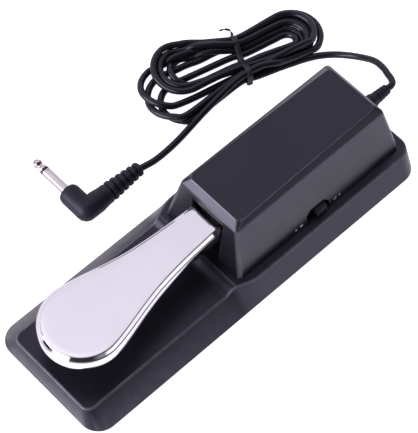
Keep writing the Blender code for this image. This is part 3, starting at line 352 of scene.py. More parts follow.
def cord_jacket(name, dark, light):
    """Soft PVC jacket: satin, with a slightly uneven skin."""
    look = Look(name, dark, 0.30, specular=0.42)
    look.set("Specular Tint", (0.85, 0.83, 1.0))
    look.vary_colour(85.0, dark, light)
    look.vary_roughness(240.0, 0.24, 0.36)
    look.bump(look.noise(700.0, detail=4.0), 0.00002, 0.6)
    look.bump(look.noise(2600.0, detail=2.0), 0.000008, 0.5)
    return look


def pressed_felt(name, dark, light):
    look = Look(name, dark, 0.95)
    look.set("Sheen Weight", 0.4)
    look.vary_colour(900.0, dark, light, detail=6.0)
    look.bump(look.noise(2200.0, detail=6.0), 0.0002, 0.9)
    return look


def solder_mask(name, dark, light):
    look = Look(name, dark, 0.35)
    look.set("Coat Weight", 0.3)
    look.vary_colour(420.0, dark, light)
    look.vary_roughness(300.0, 0.28, 0.42)
    look.bump(look.cells(600.0), 0.00004, 0.5)
    return look


def mark_paint(name, dark, light):
    """Pad-printed ink, thin and a little worn."""
    look = Look(name, dark, 0.5)
    look.vary_colour(900.0, dark, light, detail=4.0)
    look.vary_roughness(500.0, 0.42, 0.60)
    look.bump(look.noise(3000.0), 0.00001, 0.5)
    return look


# slot: material function, dark colour, light colour, and then what else that function asks for
RECIPES = {
    # the shell's last colour is a painted highlight along its rounded edges
    "shell_plastic": (moulded_plastic, (0.0070, 0.0066, 0.0095), (0.0095, 0.0089, 0.0125), 0.30, 0.000008,
                      (0.130, 0.123, 0.150)),
    "switch_plastic": (moulded_plastic, (0.010, 0.010, 0.011), (0.015, 0.015, 0.017), 0.45, 0.000012),
    "nylon": (moulded_plastic, (0.66, 0.64, 0.57), (0.76, 0.74, 0.68), 0.45, 0.00001),
    "pedal_chrome": (polished_chrome, (0.820, 0.810, 0.845), (0.860, 0.850, 0.875)),
    "bottom_steel": (worked_metal, (0.44, 0.44, 0.45), (0.58, 0.58, 0.59), 0.30, 0.44, (1, 0.04, 1),
                     0.00001),
    "screw_steel": (worked_metal, (0.56, 0.56, 0.54), (0.74, 0.74, 0.71), 0.20, 0.34, (1, 1, 1), 0.000006),
    "spring_steel": (worked_metal, (0.36, 0.36, 0.38), (0.52, 0.52, 0.54), 0.22, 0.36, (1, 1, 1), 0.000006),
    "plug_nickel": (worked_metal, (0.62, 0.55, 0.56), (0.72, 0.65, 0.66), 0.10, 0.18, (0.05, 1, 1),
                    0.000002),
    "foot_rubber": (moulded_rubber, (0.016, 0.016, 0.017), (0.026, 0.026, 0.028), 0.74, 0.00004),
    "moulded_rubber": (moulded_rubber, (0.0085, 0.0082, 0.0125), (0.0130, 0.0125, 0.0185), 0.48, 0.000008),
    "cord_jacket": (cord_jacket, (0.0050, 0.0048, 0.0066), (0.0085, 0.0081, 0.0110)),
    "tie": (moulded_rubber, (0.012, 0.012, 0.014), (0.020, 0.020, 0.023), 0.38, 0.000016),
    "felt": (pressed_felt, (0.14, 0.155, 0.14), (0.27, 0.29, 0.27)),
    "board": (solder_mask, (0.020, 0.120, 0.055), (0.045, 0.200, 0.100)),
    "red_wire": (moulded_rubber, (0.42, 0.02, 0.02), (0.58, 0.05, 0.04), 0.42, 0.00001),
    "black_wire": (moulded_rubber, (0.014, 0.014, 0.016), (0.024, 0.024, 0.027), 0.42, 0.00001),
    "mark_ink": (mark_paint, (0.26, 0.25, 0.30), (0.55, 0.54, 0.62)),
}
LOOKS = {name: make(name, *values) for name, (make, *values) in RECIPES.items()}
SLOT_OF_NODE = {
    "bottom_steel": ["bottom_plate", "bracket", "lever"],
    "screw_steel": ["housing_screw", "bracket_screw", "board_screw", "micro_switch_screw", "pivot_axle",
                    "retaining_ring", "pedal_nut"],
    "nylon": ["bushing", "spring_seat", "switch_plunger"],
    "felt": ["rest_stop"],
    "foot_rubber": ["down_stop"],
    "switch_plastic": ["micro_switch", "slide_switch"],
    "board": ["polarity_board"],
    "red_wire": ["switch_wire_1", "cord_wire_1"],
    "black_wire": ["switch_wire_2", "cord_wire_2"],
}


# ---- mesh helpers ----
def add_object(name, bm):
    bmesh.ops.recalc_face_normals(bm, faces=bm.faces)
    mesh = bpy.data.meshes.new(name)
    bm.to_mesh(mesh)
    bm.free()
    obj = bpy.data.objects.new(name, mesh)
    SCENE.collection.objects.link(obj)
    return obj


def skin(bm, lower, upper):
    """Faces between two rings, or between a ring and a single point."""
    count = max(len(lower), len(upper))
    for i in range(count):
        j = (i + 1) % count
        if len(lower) == 1:
            bm.faces.new((lower[0], upper[j], upper[i]))
        elif len(upper) == 1:
            bm.faces.new((lower[i], lower[j], upper[0]))
        else:
            bm.faces.new((lower[i], lower[j], upper[j], upper[i]))


def loft(name, rings, soften=None, tube=False):
    """A solid through rings of as many points, or one at a tip. A tube joins its last ring to its first."""
    bm = bmesh.new()
    loops = [[bm.verts.new(point) for point in ring] for ring in rings]
    for lower, upper in zip(loops, loops[1:] + (loops[:1] if tube else [])):
        skin(bm, lower, upper)
    if not tube:
        for loop in (loops[0][::-1], loops[-1]):
            if len(loop) > 1:
                bm.faces.new(loop)
    if soften:
        soften(bm, loops)
    return add_object(name, bm)


def prism(name, outline, low, high, axis="Z"):
    """An outline extruded along an axis. Its points are on the other two axes, in X, Y, Z order."""
    if axis == "X":
        return loft(name, [[(w, u, v) for u, v in outline] for w in (low, high)])
    return loft(name, [[(u, v, w) for u, v in outline] for w in (low, high)])


def block(name, low, high):
    return prism(name, [(low[0], low[1]), (high[0], low[1]), (high[0], high[1]), (low[0], high[1])],
                 low[2], high[2])


def circle(radius, count):
    return [(radius * math.cos(2 * math.pi * i / count), radius * math.sin(2 * math.pi * i / count))
            for i in range(count)]


def turned(name, profile, start, direction, steps=48, tube=False):
    """A turned solid from (radius, distance along the axis) points."""
    turn = Vector((0, 0, 1)).rotation_difference(Vector(direction)).to_matrix()
    rings = []
    for radius, height in profile:
        spots = circle(radius, steps if radius > 0 else 1)
        rings.append([Vector(start) + turn @ Vector((x, y, height)) for x, y in spots])
    return loft(name, rings, tube=tube)


def rod(name, start, end, radius, steps=32):
    along = Vector(end) - Vector(start)
    return turned(name, [(radius, 0.0), (radius, along.length)], start, along, steps)


def sweep(name, path, section):
    """Carries a section along a path of vectors. section(share) gives (sideways, upward) points."""
    rings = []
    for i, point in enumerate(path):
        along = (path[min(i + 1, len(path) - 1)] - path[max(i - 1, 0)]).normalized()
        side = along.cross(Vector((0, 0, 1))).normalized()
        lift = side.cross(along)
        rings.append([point + side * u + lift * v for u, v in section(i / (len(path) - 1))])
    return loft(name, rings)


def combine(obj, cuts=(), joins=()):
    """Applies Booleans and keeps only the result."""
    for operation, others in (("DIFFERENCE", cuts), ("UNION", joins)):
        for other in others:
            modifier = obj.modifiers.new(operation, "BOOLEAN")
            modifier.operation = operation
            modifier.solver = "EXACT"
            modifier.object = other
    bake(obj)
    for other in (*cuts, *joins):
        bpy.data.objects.remove(other)
    return obj


def bake(obj):
    graph = bpy.context.evaluated_depsgraph_get()
    obj.data = bpy.data.meshes.new_from_object(obj.evaluated_get(graph))
    obj.modifiers.clear()


def add_rounding(obj, width, limit_degrees):
    bevel = obj.modifiers.new("rounding", "BEVEL")
    bevel.width = width
    bevel.segments = 2
    bevel.limit_method = "ANGLE"
    bevel.angle_limit = math.radians(limit_degrees)


def weigh_normals(obj):
    weighted = obj.modifiers.new("weighted", "WEIGHTED_NORMAL")
    weighted.keep_sharp = True


def smooth(obj, sharp_degrees=32.0, rounding=0.0, limit_degrees=35.0):
    """Smooth shading with sharp edges kept, and small rounded edges if a size is given."""
    if rounding:
        add_rounding(obj, rounding, limit_degrees)
        bake(obj)
    bm = bmesh.new()
    bm.from_mesh(obj.data)
    bmesh.ops.remove_doubles(bm, verts=bm.verts, dist=0.0000005)
    for face in bm.faces:
        face.smooth = True
    for edge in bm.edges:
        if len(edge.link_faces) == 2:
            edge.smooth = edge.calc_face_angle(0.0) < math.radians(sharp_degrees)
    bm.to_mesh(obj.data)
    bm.free()
    weigh_normals(obj)
    return obj


def mark_edges(obj, least, most):
    """Writes an edge mask, for wear and a painted highlight, at each vertex. It rises from 0 to 1 between
    two curvatures, in 1/m.
    """
    bm = bmesh.new()
    bm.from_mesh(obj.data)
    layer = bm.verts.layers.float.new("edge")
    for edge in bm.edges:
        if len(edge.link_faces) != 2 or edge.calc_length() == 0:
            continue
        across = sum(face.calc_area() for face in edge.link_faces) / edge.calc_length() / 2
        bend = edge.calc_face_angle_signed(0.0) / max(across, 0.00005)
        for vert in edge.verts:
            vert[layer] = max(vert[layer], smoothstep(least, most, bend))
    bm.to_mesh(obj.data)
    bm.free()


def dress(obj, slot, *nodes, body="base", look=None, wear_and_highlight=EDGE_WEAR_AND_HIGHLIGHT):
    """Gives a finished piece its material and body, and hides the CAD nodes that it stands for."""
    if obj.type == "MESH":
        mark_edges(obj, *wear_and_highlight)
    obj.data.materials.clear()
    obj.data.materials.append(LOOKS[look or slot].material)
    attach(obj, body)
    if nodes:
        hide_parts(*nodes)
    return obj


def arc(centre, radius, start, end, count):
    """Points on a flat arc, angles in degrees."""
    angles = [math.radians(start + (end - start) * i / count) for i in range(count + 1)]
    return [(centre[0] + radius * math.cos(a), centre[1] + radius * math.sin(a)) for a in angles]


def rounded_rectangle(centre, half_width, half_length, corner, steps=8):
    x, y = half_width - corner, half_length - corner
    outline = []
    for start, (sign_x, sign_y) in zip((-90, 0, 90, 180), ((1, -1), (1, 1), (-1, 1), (-1, -1))):
        middle = (centre[0] + sign_x * x, centre[1] + sign_y * y)
        outline += arc(middle, corner, start, start + 90, steps)
    return outline


def smoothstep(low, high, value):
    t = min(max((value - low) / (high - low), 0.0), 1.0)
    return t * t * (3 - 2 * t)


def through(points, spacing):
    """Evenly spaced points on a Catmull-Rom curve through the given ones."""
    knots = [Vector(p) for p in points]
    knots = [2 * knots[0] - knots[1]] + knots + [2 * knots[-1] - knots[-2]]
    dense = []
    for a, b, c, d in zip(knots, knots[1:], knots[2:], knots[3:]):
        for step in range(16):
            t = step / 16
            dense.append(0.5 * (2 * b + (c - a) * t + (2 * a - 5 * b + 4 * c - d) * t * t
                                + (3 * b - a - 3 * c + d) * t ** 3))
    dense.append(knots[-2])
    lengths = [0.0]
    for p, q in zip(dense, dense[1:]):
        lengths.append(lengths[-1] + (q - p).length)
    count = max(2, round(lengths[-1] / spacing))
    wanted = np.linspace(0.0, lengths[-1], count + 1)
    columns = [np.interp(wanted, lengths, [p[axis] for p in dense]) for axis in range(len(dense[0]))]
    return [Vector(row) for row in zip(*columns)]


# ---- base ----
def deck_height(y):
    return FRONT_DECK_Z + (REAR_DECK_Z - FRONT_DECK_Z) * smoothstep(RAMP_START_Y, RAMP_END_Y, y)


def rim_half_width(y):
    return FRONT_RIM_HALF + (REAR_RIM_HALF - FRONT_RIM_HALF) * smoothstep(FLARE_START_Y, FLARE_END_Y, y)


def base_stations(inset):
    """The right-hand side from front to rear, as (foot, rim, outward direction) in plan."""
    corner = BASE_CORNER - inset * 0.8
    rows = []

    def add_corner(degrees, end_y, sign, rim_corner, setback, rim_half):
        sine = math.sin(math.radians(degrees))
        cosine = math.cos(math.radians(degrees))
        rim_corner = max(rim_corner - inset * 0.6, 0.002)
        rows.append(((BASE_HALF_WIDTH - inset - corner + corner * sine,
                      end_y + sign * (inset + corner * (1 - cosine))),
                     (rim_half - inset - rim_corner + rim_corner * sine,
                      end_y + sign * (setback + inset + rim_corner * (1 - cosine))),
                     (sine, -sign * cosine)))

    steps = [7.5 * i for i in range(13)]
    for degrees in steps:
        add_corner(degrees, FRONT_Y, 1, FRONT_RIM_CORNER, FRONT_RIM_SETBACK, FRONT_RIM_HALF)
    middle = 40
    for i in range(middle + 1):
        y = RAMP_START_Y + (FLARE_END_Y - RAMP_START_Y) * i / middle
        rows.append(((BASE_HALF_WIDTH - inset, y), (rim_half_width(y) - inset, y), (1.0, 0.0)))
    for degrees in reversed(steps):
        add_corner(degrees, REAR_Y, -1, REAR_RIM_CORNER, REAR_RIM_SETBACK, REAR_RIM_HALF)
    return rows


def base_body(name, inset, drop, bottom_z, rounding):
    """A solid under the deck. Its rim is rounded by blending from the side on to the deck."""
    sections = []
    for (foot_x, foot_y), (rim_x, rim_y), (out_x, out_y) in base_stations(inset):
        foot = Vector((foot_x, foot_y, bottom_z))
        rim = Vector((rim_x, rim_y, deck_height(rim_y) - drop))
        down = (foot - rim).normalized()
        deck = Vector((rim_x - out_x * rounding, rim_y - out_y * rounding, 0.0))
        deck.z = deck_height(deck.y) - drop
        low = rim + down * rounding
        side = [foot]
        for i in range(7):
            t = i / 6
            side.append(low * (1 - t) ** 2 + rim * 2 * t * (1 - t) + deck * t * t)
        sections.append(side)
    bm = bmesh.new()
    right = [[bm.verts.new(p) for p in side] for side in sections]
    left = [[bm.verts.new((-p.x, p.y, p.z)) for p in side] for side in sections]
    for near, far, mirror_near, mirror_far in zip(right, right[1:], left, left[1:]):
        for k in range(len(near) - 1):
            bm.faces.new((near[k], far[k], far[k + 1], near[k + 1]))
            bm.faces.new((mirror_near[k + 1], mirror_far[k + 1], mirror_far[k], mirror_near[k]))
        bm.faces.new((near[-1], far[-1], mirror_far[-1], mirror_near[-1]))
        bm.faces.new((mirror_near[0], mirror_far[0], far[0], near[0]))
    for side, mirror in ((right[0], left[0]), (left[-1], right[-1])):
        for k in range(len(side) - 1):
            bm.faces.new((side[k], side[k + 1], mirror[k + 1], mirror[k]))
    return add_object(name, bm)


def build_base():
    """The shell, with a recess for the bottom plate, bosses under the deck and the screws' holes."""
    base = base_body("base_skin", 0.0, 0.0, FOOT_HEIGHT, RIM_ROUNDING)
    recess = rounded_rectangle((0, 0), BASE_HALF_WIDTH - PLATE_RECESS_INSET, REAR_Y - PLATE_RECESS_INSET,
                               BASE_CORNER - PLATE_RECESS_INSET)
    cuts = [base_body("hollow", BASE_WALL, DECK_WALL, 0.0, 0.0004),
            prism("recess", recess, 0.0, PLATE_RECESS_TOP)]
    combine(base, cuts)
    bosses = []
    holes = []
    for x, y in BASE_SCREW_SPOTS:
        boss_top = (x, y, deck_height(y) - DECK_WALL / 2)
        bosses.append(rod("boss", (x, y, PLATE_RECESS_TOP), boss_top, BOSS_RADIUS))
        holes.append(rod("hole", (x, y, 0.0), (x, y, BASE_HOLE_TOP_Z), SCREW_HOLE_RADIUS))
    for x, y in HOUSING_SCREW_SPOTS:
        low, high = (x, y, HOUSING_HOLE_BOTTOM_Z), (x, y, HOUSING_HOLE_TOP_Z)
        holes.append(rod("hole", low, high, SCREW_HOLE_RADIUS))
    combine(base, joins=bosses)
    combine(base, cuts=holes)
    dress(smooth(base), "shell_plastic", "base_shell")


def build_feet():
    """Rubber pads with a ribbed sole."""
    for number, (x, y) in enumerate(FOOT_SPOTS, 1):
        rings = []
        for inset, z in ((0.0, FOOT_HEIGHT), (0.0, 0.0005), (0.0001, 0.0002), (0.0005, 0.0)):
            ring = rounded_rectangle((x, y), FOOT_HALF_WIDTH - inset, FOOT_HALF_LENGTH - inset,
                                     FOOT_CORNER - inset)
            rings.append([(px, py, z) for px, py in reversed(ring)])
        foot = loft(f"foot_pad_{number}", rings)
        grooves = []
        for i in range(-6, 7):
            middle = y + i * GROOVE_PITCH
            grooves.append(block("groove", (x - GROOVE_HALF_LENGTH, middle - 0.0005, -0.0010),
                                 (x + GROOVE_HALF_LENGTH, middle + 0.0005, 0.0005)))
        combine(foot, cuts=grooves)
        dress(smooth(foot), "foot_rubber", f"rubber_foot_{number}")


def build_base_screws():
    """Pan head screws with a cross recess, seen on the underside."""
    profile = [(0.0, -0.0013), (0.0011, -0.00128), (0.0019, -0.0011), (0.0025, -0.0007), (0.0028, 0.0),
               (0.0013, 0.0), (0.0013, 0.0070), (0.0004, 0.0080), (0.0, 0.0080)]
    for number, (x, y) in enumerate(BASE_SCREW_SPOTS, 1):
        screw = turned(f"cross_screw_{number}", profile, (x, y, FOOT_HEIGHT), (0, 0, 1), 32)
        arms = [block("arm", (x - 0.0016, y - 0.0003, 0.0), (x + 0.0016, y + 0.0003, 0.0014)),
                block("arm", (x - 0.0003, y - 0.0016, 0.0), (x + 0.0003, y + 0.0016, 0.0014))]
        dress(smooth(combine(screw, cuts=arms)), "screw_steel", f"base_screw_{number}")


# ---- housing ----
def housing_ring(sizes, inset=0.0, lift=0.0):
    """A four-sided ring with rounded corners."""
    z, front, rear, half_front, half_rear = sizes
    front, rear = front + inset, rear - inset
    half_front, half_rear = half_front - inset, half_rear - inset
    c = max(HOUSING_CORNER - inset, 0.0006)
    half = arc((half_front - c, front + c), c, -90, 0, 8) + arc((half_rear - c, rear - c), c, 0, 90, 8)
    points = [(x, y, z + lift) for x, y in half]
    return points + [(-x, y, w) for x, y, w in reversed(points)]


def round_the_shoulders(bm, loops):
    """Rounds the housing's edges above its open foot."""
    crease = []
    for loop in loops[1:]:
        crease += [bm.edges.get((loop[i], loop[(i + 1) % len(loop)])) for i in range(len(loop))]
    bmesh.ops.bevel(bm, geom=crease, offset=HOUSING_EDGE, segments=4, affect="EDGES", profile=0.5,
                    clamp_overlap=True)


def build_housing():
    """The shell, open below, with the pedal's mouth, the polarity switch's notch and the cord's hole."""
    rings = [housing_ring(sizes) for sizes in (HOUSING_BOTTOM, HOUSING_SHOULDER, HOUSING_TOP)]
    shell = loft("housing_skin", rings, round_the_shoulders)
    wall = HOUSING_WALL
    hollow = loft("hollow", [housing_ring(HOUSING_BOTTOM, wall * 0.8, -0.002),
                             housing_ring(HOUSING_SHOULDER, wall, -wall * 0.4),
                             housing_ring(HOUSING_TOP, wall * 1.1, -wall)])
    mouth = block("mouth", (-MOUTH_HALF_WIDTH, -0.0200, 0.0100), (MOUTH_HALF_WIDTH, 0.0020, MOUTH_TOP_Z))
    notch = [(NOTCH_FRONT_Y, 0.0150), (NOTCH_REAR_Y, 0.0150),
             (NOTCH_REAR_Y, NOTCH_TOP_Z - NOTCH_CHAMFER),
             (NOTCH_REAR_Y - NOTCH_CHAMFER, NOTCH_TOP_Z),
             (NOTCH_FRONT_Y + NOTCH_CHAMFER * 0.7, NOTCH_TOP_Z),
             (NOTCH_FRONT_Y, NOTCH_TOP_Z - NOTCH_CHAMFER * 0.7)]
    hole = rod("hole", (0, 0.1150, CORD_EXIT_Z), (0, 0.1350, CORD_EXIT_Z), BOOT_RADIUS + BOOT_CLEARANCE, 40)
    combine(shell, cuts=[hollow])
    combine(shell, cuts=[mouth, prism("notch", notch, 0.0275, 0.0400, "X"), hole])
    smooth(shell, rounding=0.00025, limit_degrees=50.0)
    # the housing's rounded edges get a painted highlight line
    dress(shell, "shell_plastic", "housing_shell", wear_and_highlight=HOUSING_EDGE_HIGHLIGHT)


def housing_side(y, z):
    """A point on the outside of the right-hand wall, and the wall's outward direction."""
    share = (z - HOUSING_BOTTOM[0]) / (HOUSING_SHOULDER[0] - HOUSING_BOTTOM[0])
    x = HOUSING_BOTTOM[3] + (HOUSING_SHOULDER[3] - HOUSING_BOTTOM[3]) * share
    lean = Vector((HOUSING_SHOULDER[0] - HOUSING_BOTTOM[0], 0, HOUSING_BOTTOM[3] - HOUSING_SHOULDER[3]))
    return Vector((x, y, z)), lean.normalized()


def build_marks():
    """Plain dots and rings beside the polarity switch."""
    for name, y, inner, outer in (("mark_dot_front", 0.0385, 0.0, 0.0007),
                                  ("mark_ring_front", 0.0430, 0.0006, 0.0011),
                                  ("mark_ring_rear", 0.0715, 0.0006, 0.0011),
                                  ("mark_bar_rear", 0.0755, 0.0, 0.0007)):
        spot, outward = housing_side(y, MARK_Z)
        profile = [(inner, 0.0), (outer, 0.0), (outer, MARK_THICKNESS), (inner, MARK_THICKNESS)]
        mark = turned(name, profile, spot - outward * MARK_SUNK, outward, 32, tube=inner > 0)
        dress(smooth(mark), "shell_plastic", look="mark_ink")


def build_knob():
    """The slide switch's knob, with finger ridges across its outer face."""
    outline = [(KNOB_FACE_X, KNOB_Y + KNOB_HALF_LENGTH), (KNOB_FACE_X, KNOB_Y - KNOB_HALF_LENGTH)]
    pitch = 2 * KNOB_HALF_LENGTH / KNOB_RIDGES
    for i in range(KNOB_RIDGES):
        start = KNOB_Y - KNOB_HALF_LENGTH + i * pitch
        valley = KNOB_OUTER_X - KNOB_RIDGE_DEPTH
        outline += [(valley, start + pitch * 0.06), (KNOB_OUTER_X, start + pitch * 0.28),
                    (KNOB_OUTER_X, start + pitch * 0.72), (valley, start + pitch * 0.94)]
    knob = prism("ridged_knob", outline, KNOB_BOTTOM_Z, KNOB_TOP_Z)
    neck = block("neck", (0.0266, KNOB_Y - 0.0022, 0.0222), (0.0300, KNOB_Y + 0.0022, 0.0249))
    combine(knob, joins=[neck])
    dress(smooth(knob, rounding=0.00018), "switch_plastic", "slide_knob", body="knob")


# ---- pedal ----
def pedal_outline():
    """The pedal seen from above, going round from the neck down the right side to the nose and back."""
    corner = PEDAL_NECK_CORNER
    neck_half = PEDAL_FLANK[0][1]
    right = arc((neck_half - corner, PEDAL_NECK_Y - corner), corner, 90, 0, 8)
    knots = [(w, PEDAL_NECK_Y - d, 0.0) for d, w in PEDAL_FLANK]
    right += [(p.x, p.y) for p in through(knots, 0.0030)[1:]]
    nose = arc((0.0, PEDAL_NOSE_Y), PEDAL_NOSE_RADIUS, 5, -90, 38)
    right += nose[:-1]
    left = [(-x, y) for x, y in reversed(right)]
    return right + [nose[-1]] + left


def shift_outline(outline, distances):
    """Moves each point of a clockwise outline outward by its own distance."""
    moved = []
    count = len(outline)
    for i, ((x, y), distance) in enumerate(zip(outline, distances)):
        before = Vector((x, y)) - Vector(outline[i - 1])
        after = Vector(outline[(i + 1) % count]) - Vector((x, y))
        along = (before.normalized() + after.normalized()).normalized()
        outward = Vector((-along.y, along.x))
        reach = distance / max(outward.dot(Vector((-before.y, before.x)).normalized()), 0.5)
        moved.append((x + outward.x * reach, y + outward.y * reach))
    return moved


def spread_inward(point, distance):
    """Moves a point of the pedal's outline further in, towards its middle line and away from its ends."""
    x, y = point
    if distance <= 0:
        return point
    if y < PEDAL_NOSE_Y:
        radius = math.hypot(x, y - PEDAL_NOSE_Y)
        share = (radius - distance) / radius
        return x * share, PEDAL_NOSE_Y + (y - PEDAL_NOSE_Y) * share
    from_end = PEDAL_NECK_Y - y
    shift = distance if from_end < PEDAL_NECK_CORNER * 1.2 else 0.0
    return x - math.copysign(min(distance, abs(x)), x), y - shift


def inset_outline(outline, inset):
    """The outline moved in. Only the first part of a deep inset can follow the neck's small corners."""
    first = min(inset, PEDAL_NECK_CORNER * 0.94)
    moved = shift_outline(outline, [-first] * len(outline))
    return [spread_inward(point, inset - first) for point in moved]


def skirt_share(y):
    """How far the side flares: nothing at the neck's end, fully from the middle of the pedal on."""
    return smoothstep(0.0, 0.0600, PEDAL_NECK_Y - y)


def skirt_profile():
    """(outward, depth) points of the side at full flare, from the top down."""
    steps = 9
    drop = (SKIRT_END_DEPTH - SKIRT_START_DEPTH) / steps
    outward, depth = 0.0, SKIRT_START_DEPTH
    profile = []
    for i in range(steps):
        slope = SKIRT_START_SLOPE + (SKIRT_END_SLOPE - SKIRT_START_SLOPE) * (i + 0.5) / steps
        outward += drop * math.tan(math.radians(slope))
        depth += drop
        profile.append((outward, depth))
    profile += [(outward - 0.0001, depth + 0.0003), (outward - 0.0004, PEDAL_SKIRT)]
    return profile


def build_pedal():
    """The pressed top with its rolled skirt, hollow below, with a slot for the lever and two studs."""
    outline = pedal_outline()
    rings = []
    for outward, depth in reversed(skirt_profile()):
        ring = shift_outline(outline, [outward * skirt_share(y) for x, y in outline])
        rings.append([(x, y, PEDAL_TOP - depth) for x, y in ring])
    for inset, depth in PEDAL_EDGE:
        rings.append([(x, y, PEDAL_TOP - depth) for x, y in inset_outline(outline, inset)])
    pedal = loft("pedal_top", rings)
    flare = skirt_profile()[-3][0]
    roof = inset_outline(outline, PEDAL_WALL)
    rim = shift_outline(roof, [flare * skirt_share(y) for x, y in roof])
    cuts = [loft("hollow", [[(x, y, PEDAL_TOP - PEDAL_SKIRT - 0.0004) for x, y in rim],
                            [(x, y, PEDAL_TOP - PEDAL_ROOF) for x, y in roof]]),
            block("slot", (-LEVER_SLOT, PEDAL_NECK_Y - 0.0040, -0.0100),
                  (LEVER_SLOT, PEDAL_NECK_Y + 0.0020, PEDAL_TOP - PEDAL_ROOF))]
    combine(pedal, cuts)
    studs = [rod("stud", (0, y, STUD_BOTTOM), (0, y, PEDAL_TOP - PEDAL_ROOF / 2), STUD_RADIUS, 24)
             for y in STUD_SPOTS]
    combine(pedal, joins=studs)
    pedal.data.transform(Matrix.Translation(PIVOT) @ Matrix.Rotation(PEDAL_TILT, 4, "X"))
    dress(smooth(pedal, sharp_degrees=27.0), "pedal_chrome", "pedal_plate", body="pedal")


def build_spring():
    """The return spring, wound between the ends of the CAD spring; the real one shortens as the pedal goes
    down.
    """
    low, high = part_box("return_spring")
    bottom, top = low.z + SPRING_WIRE, high.z - SPRING_WIRE
    count = SPRING_TURNS * 28
    path = []
    for i in range(count + 1):
        share = i / count
        climb = smoothstep(0.0, 1.0, share) * 0.35 + share * 0.65
        angle = 2 * math.pi * SPRING_TURNS * share
        path.append(Vector((SPRING_RADIUS * math.cos(angle), SPRING_Y + SPRING_RADIUS * math.sin(angle),
                            bottom + (top - bottom) * climb)))
    spring = sweep("coil_spring", path, lambda share: circle(SPRING_WIRE, 10))
    dress(smooth(spring, sharp_degrees=60.0), "spring_steel", "return_spring")
    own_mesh(spring)


# ---- cord ----
def lane_point(offset, along, height):
    """A point under the tie: offset across the bundle, and distance along it."""
    point = TIE_CENTRE + TIE_ACROSS * offset + TIE_FORWARD * along
    return (point.x, point.y, height)


def coil_points():
    """The wound part. Each turn goes round a front loop, back by its outer lane, round a rear loop and on
    to the front by its inner lane."""
    points = [lane_point(TAIL_LANE[0], along, TAIL_LANE[1]) for along in (0.004, -0.004)]
    for front, outer, rear, inner in COIL_TURNS:
        x, y, radius, height = front
        points += [(px, py, height) for px, py in arc((x, y), radius, -20, -200, 9)]
        points += [lane_point(outer[0], along, outer[1]) for along in (-0.004, 0.004)]
        x, y, radius, height = rear
        points += [(px, py, height) for px, py in arc((x, y), radius, 165, 5, 8)]
        if inner:
            points += [lane_point(inner[0], along, inner[1]) for along in (0.004, -0.004)]
    return points


def settle(points, rounds=260, calm_rounds=60, fixed=14):
    """Parts strands that lie in each other, mostly upward, and lets what is left sink to the floor.

    Its ends stay fixed, over so many points. Nothing sinks any more in the last, calm rounds."""
    place = np.array(points, float)
    home = place.copy()
    count = len(place)
    order = np.arange(count)
    apart = np.abs(order[:, None] - order[None, :])
    reach = 2 * CORD_RADIUS * 1.01
    free = np.ones(count)
    free[:fixed] = 0.0
    free[-fixed:] = 0.0
    weight = np.array([0.25, 0.25, 1.0])
    for turn in range(rounds):
        gap = place[:, None, :] - place[None, :, :]
        distance = np.sqrt((gap ** 2).sum(2)) + 1e-9
        close = (distance < reach) & (apart > 7)
        push = np.where(close, (reach - distance) / distance * 0.5, 0.0)
        level = np.sign(order[:, None] - order[None, :]) * 0.0006
        gap[:, :, 2] += np.where(close, level, 0.0)
        move = (gap * push[:, :, None]).sum(1) / np.maximum(close.sum(1), 1)[:, None]
        place += move * weight * free[:, None]
        middle = (place[:-2] + place[2:]) / 2 - place[1:-1]
        place[1:-1] += middle * np.array([0.10, 0.10, 0.35]) * free[1:-1, None]
        place[:, :2] += (home[:, :2] - place[:, :2]) * 0.06
        if turn < rounds - calm_rounds:
            place[:, 2] -= 0.00004 * free
        place[:, 2] = np.maximum(place[:, 2], CORD_RADIUS + 0.0001)
    return [Vector(row) for row in place]


def build_cord():
    """One open curve from the boot, round the coil, to the plug."""
    route = settle(through([*TAIL_ROUTE, *coil_points(), *LEAD_ROUTE], 0.0026))
    curve = bpy.data.curves.new("cord", "CURVE")
    curve.dimensions = "3D"
    curve.bevel_depth = CORD_RADIUS
    curve.bevel_resolution = 5
    curve.resolution_u = 3
    curve.use_fill_caps = True
    spline = curve.splines.new("BEZIER")
    chosen = route[:-1:2] + [route[-1]]
    spline.bezier_points.add(len(chosen) - 1)
    for knot, point in zip(spline.bezier_points, chosen):
        knot.co = point
        knot.handle_left_type = "AUTO"
        knot.handle_right_type = "AUTO"
    cord = bpy.data.objects.new("cord", curve)
    SCENE.collection.objects.link(cord)
    dress(cord, "cord_jacket", "cord_tail", "cord_coil", "cord_lead")
    return cord, route


def strands_under_tie(route):
    """(offset across the bundle, height) of each point of the cord that passes under the tie."""
    under = []
    for point in route:
        offset = (point - TIE_CENTRE).dot(TIE_ACROSS)
        if abs((point - TIE_CENTRE).dot(TIE_FORWARD)) < 0.0035 and abs(offset) < 0.022:
            under.append((offset, point.z))
    return under


def over_the_bundle(under, left_edge, right_edge, count=40):
    """(offset, height) points of a band drawn tight over the strands, from left to right."""
    spots = [left_edge + (right_edge - left_edge) * i / count for i in range(count + 1)]
    top = []
    for u in spots:
        over = [z + math.sqrt(max(CORD_RADIUS ** 2 - (u - c) ** 2, 0.0)) for c, z in under
                if abs(u - c) < CORD_RADIUS * 1.2]
        top.append(max(over, default=0.0022))
    for _ in range(14):
        top = [top[0]] + [max(b, (a + b + c) / 3) * 0.5 + (a + b + c) / 6
                          for a, b, c in zip(top, top[1:], top[2:])] + [top[-1]]
    return list(zip(spots, top))


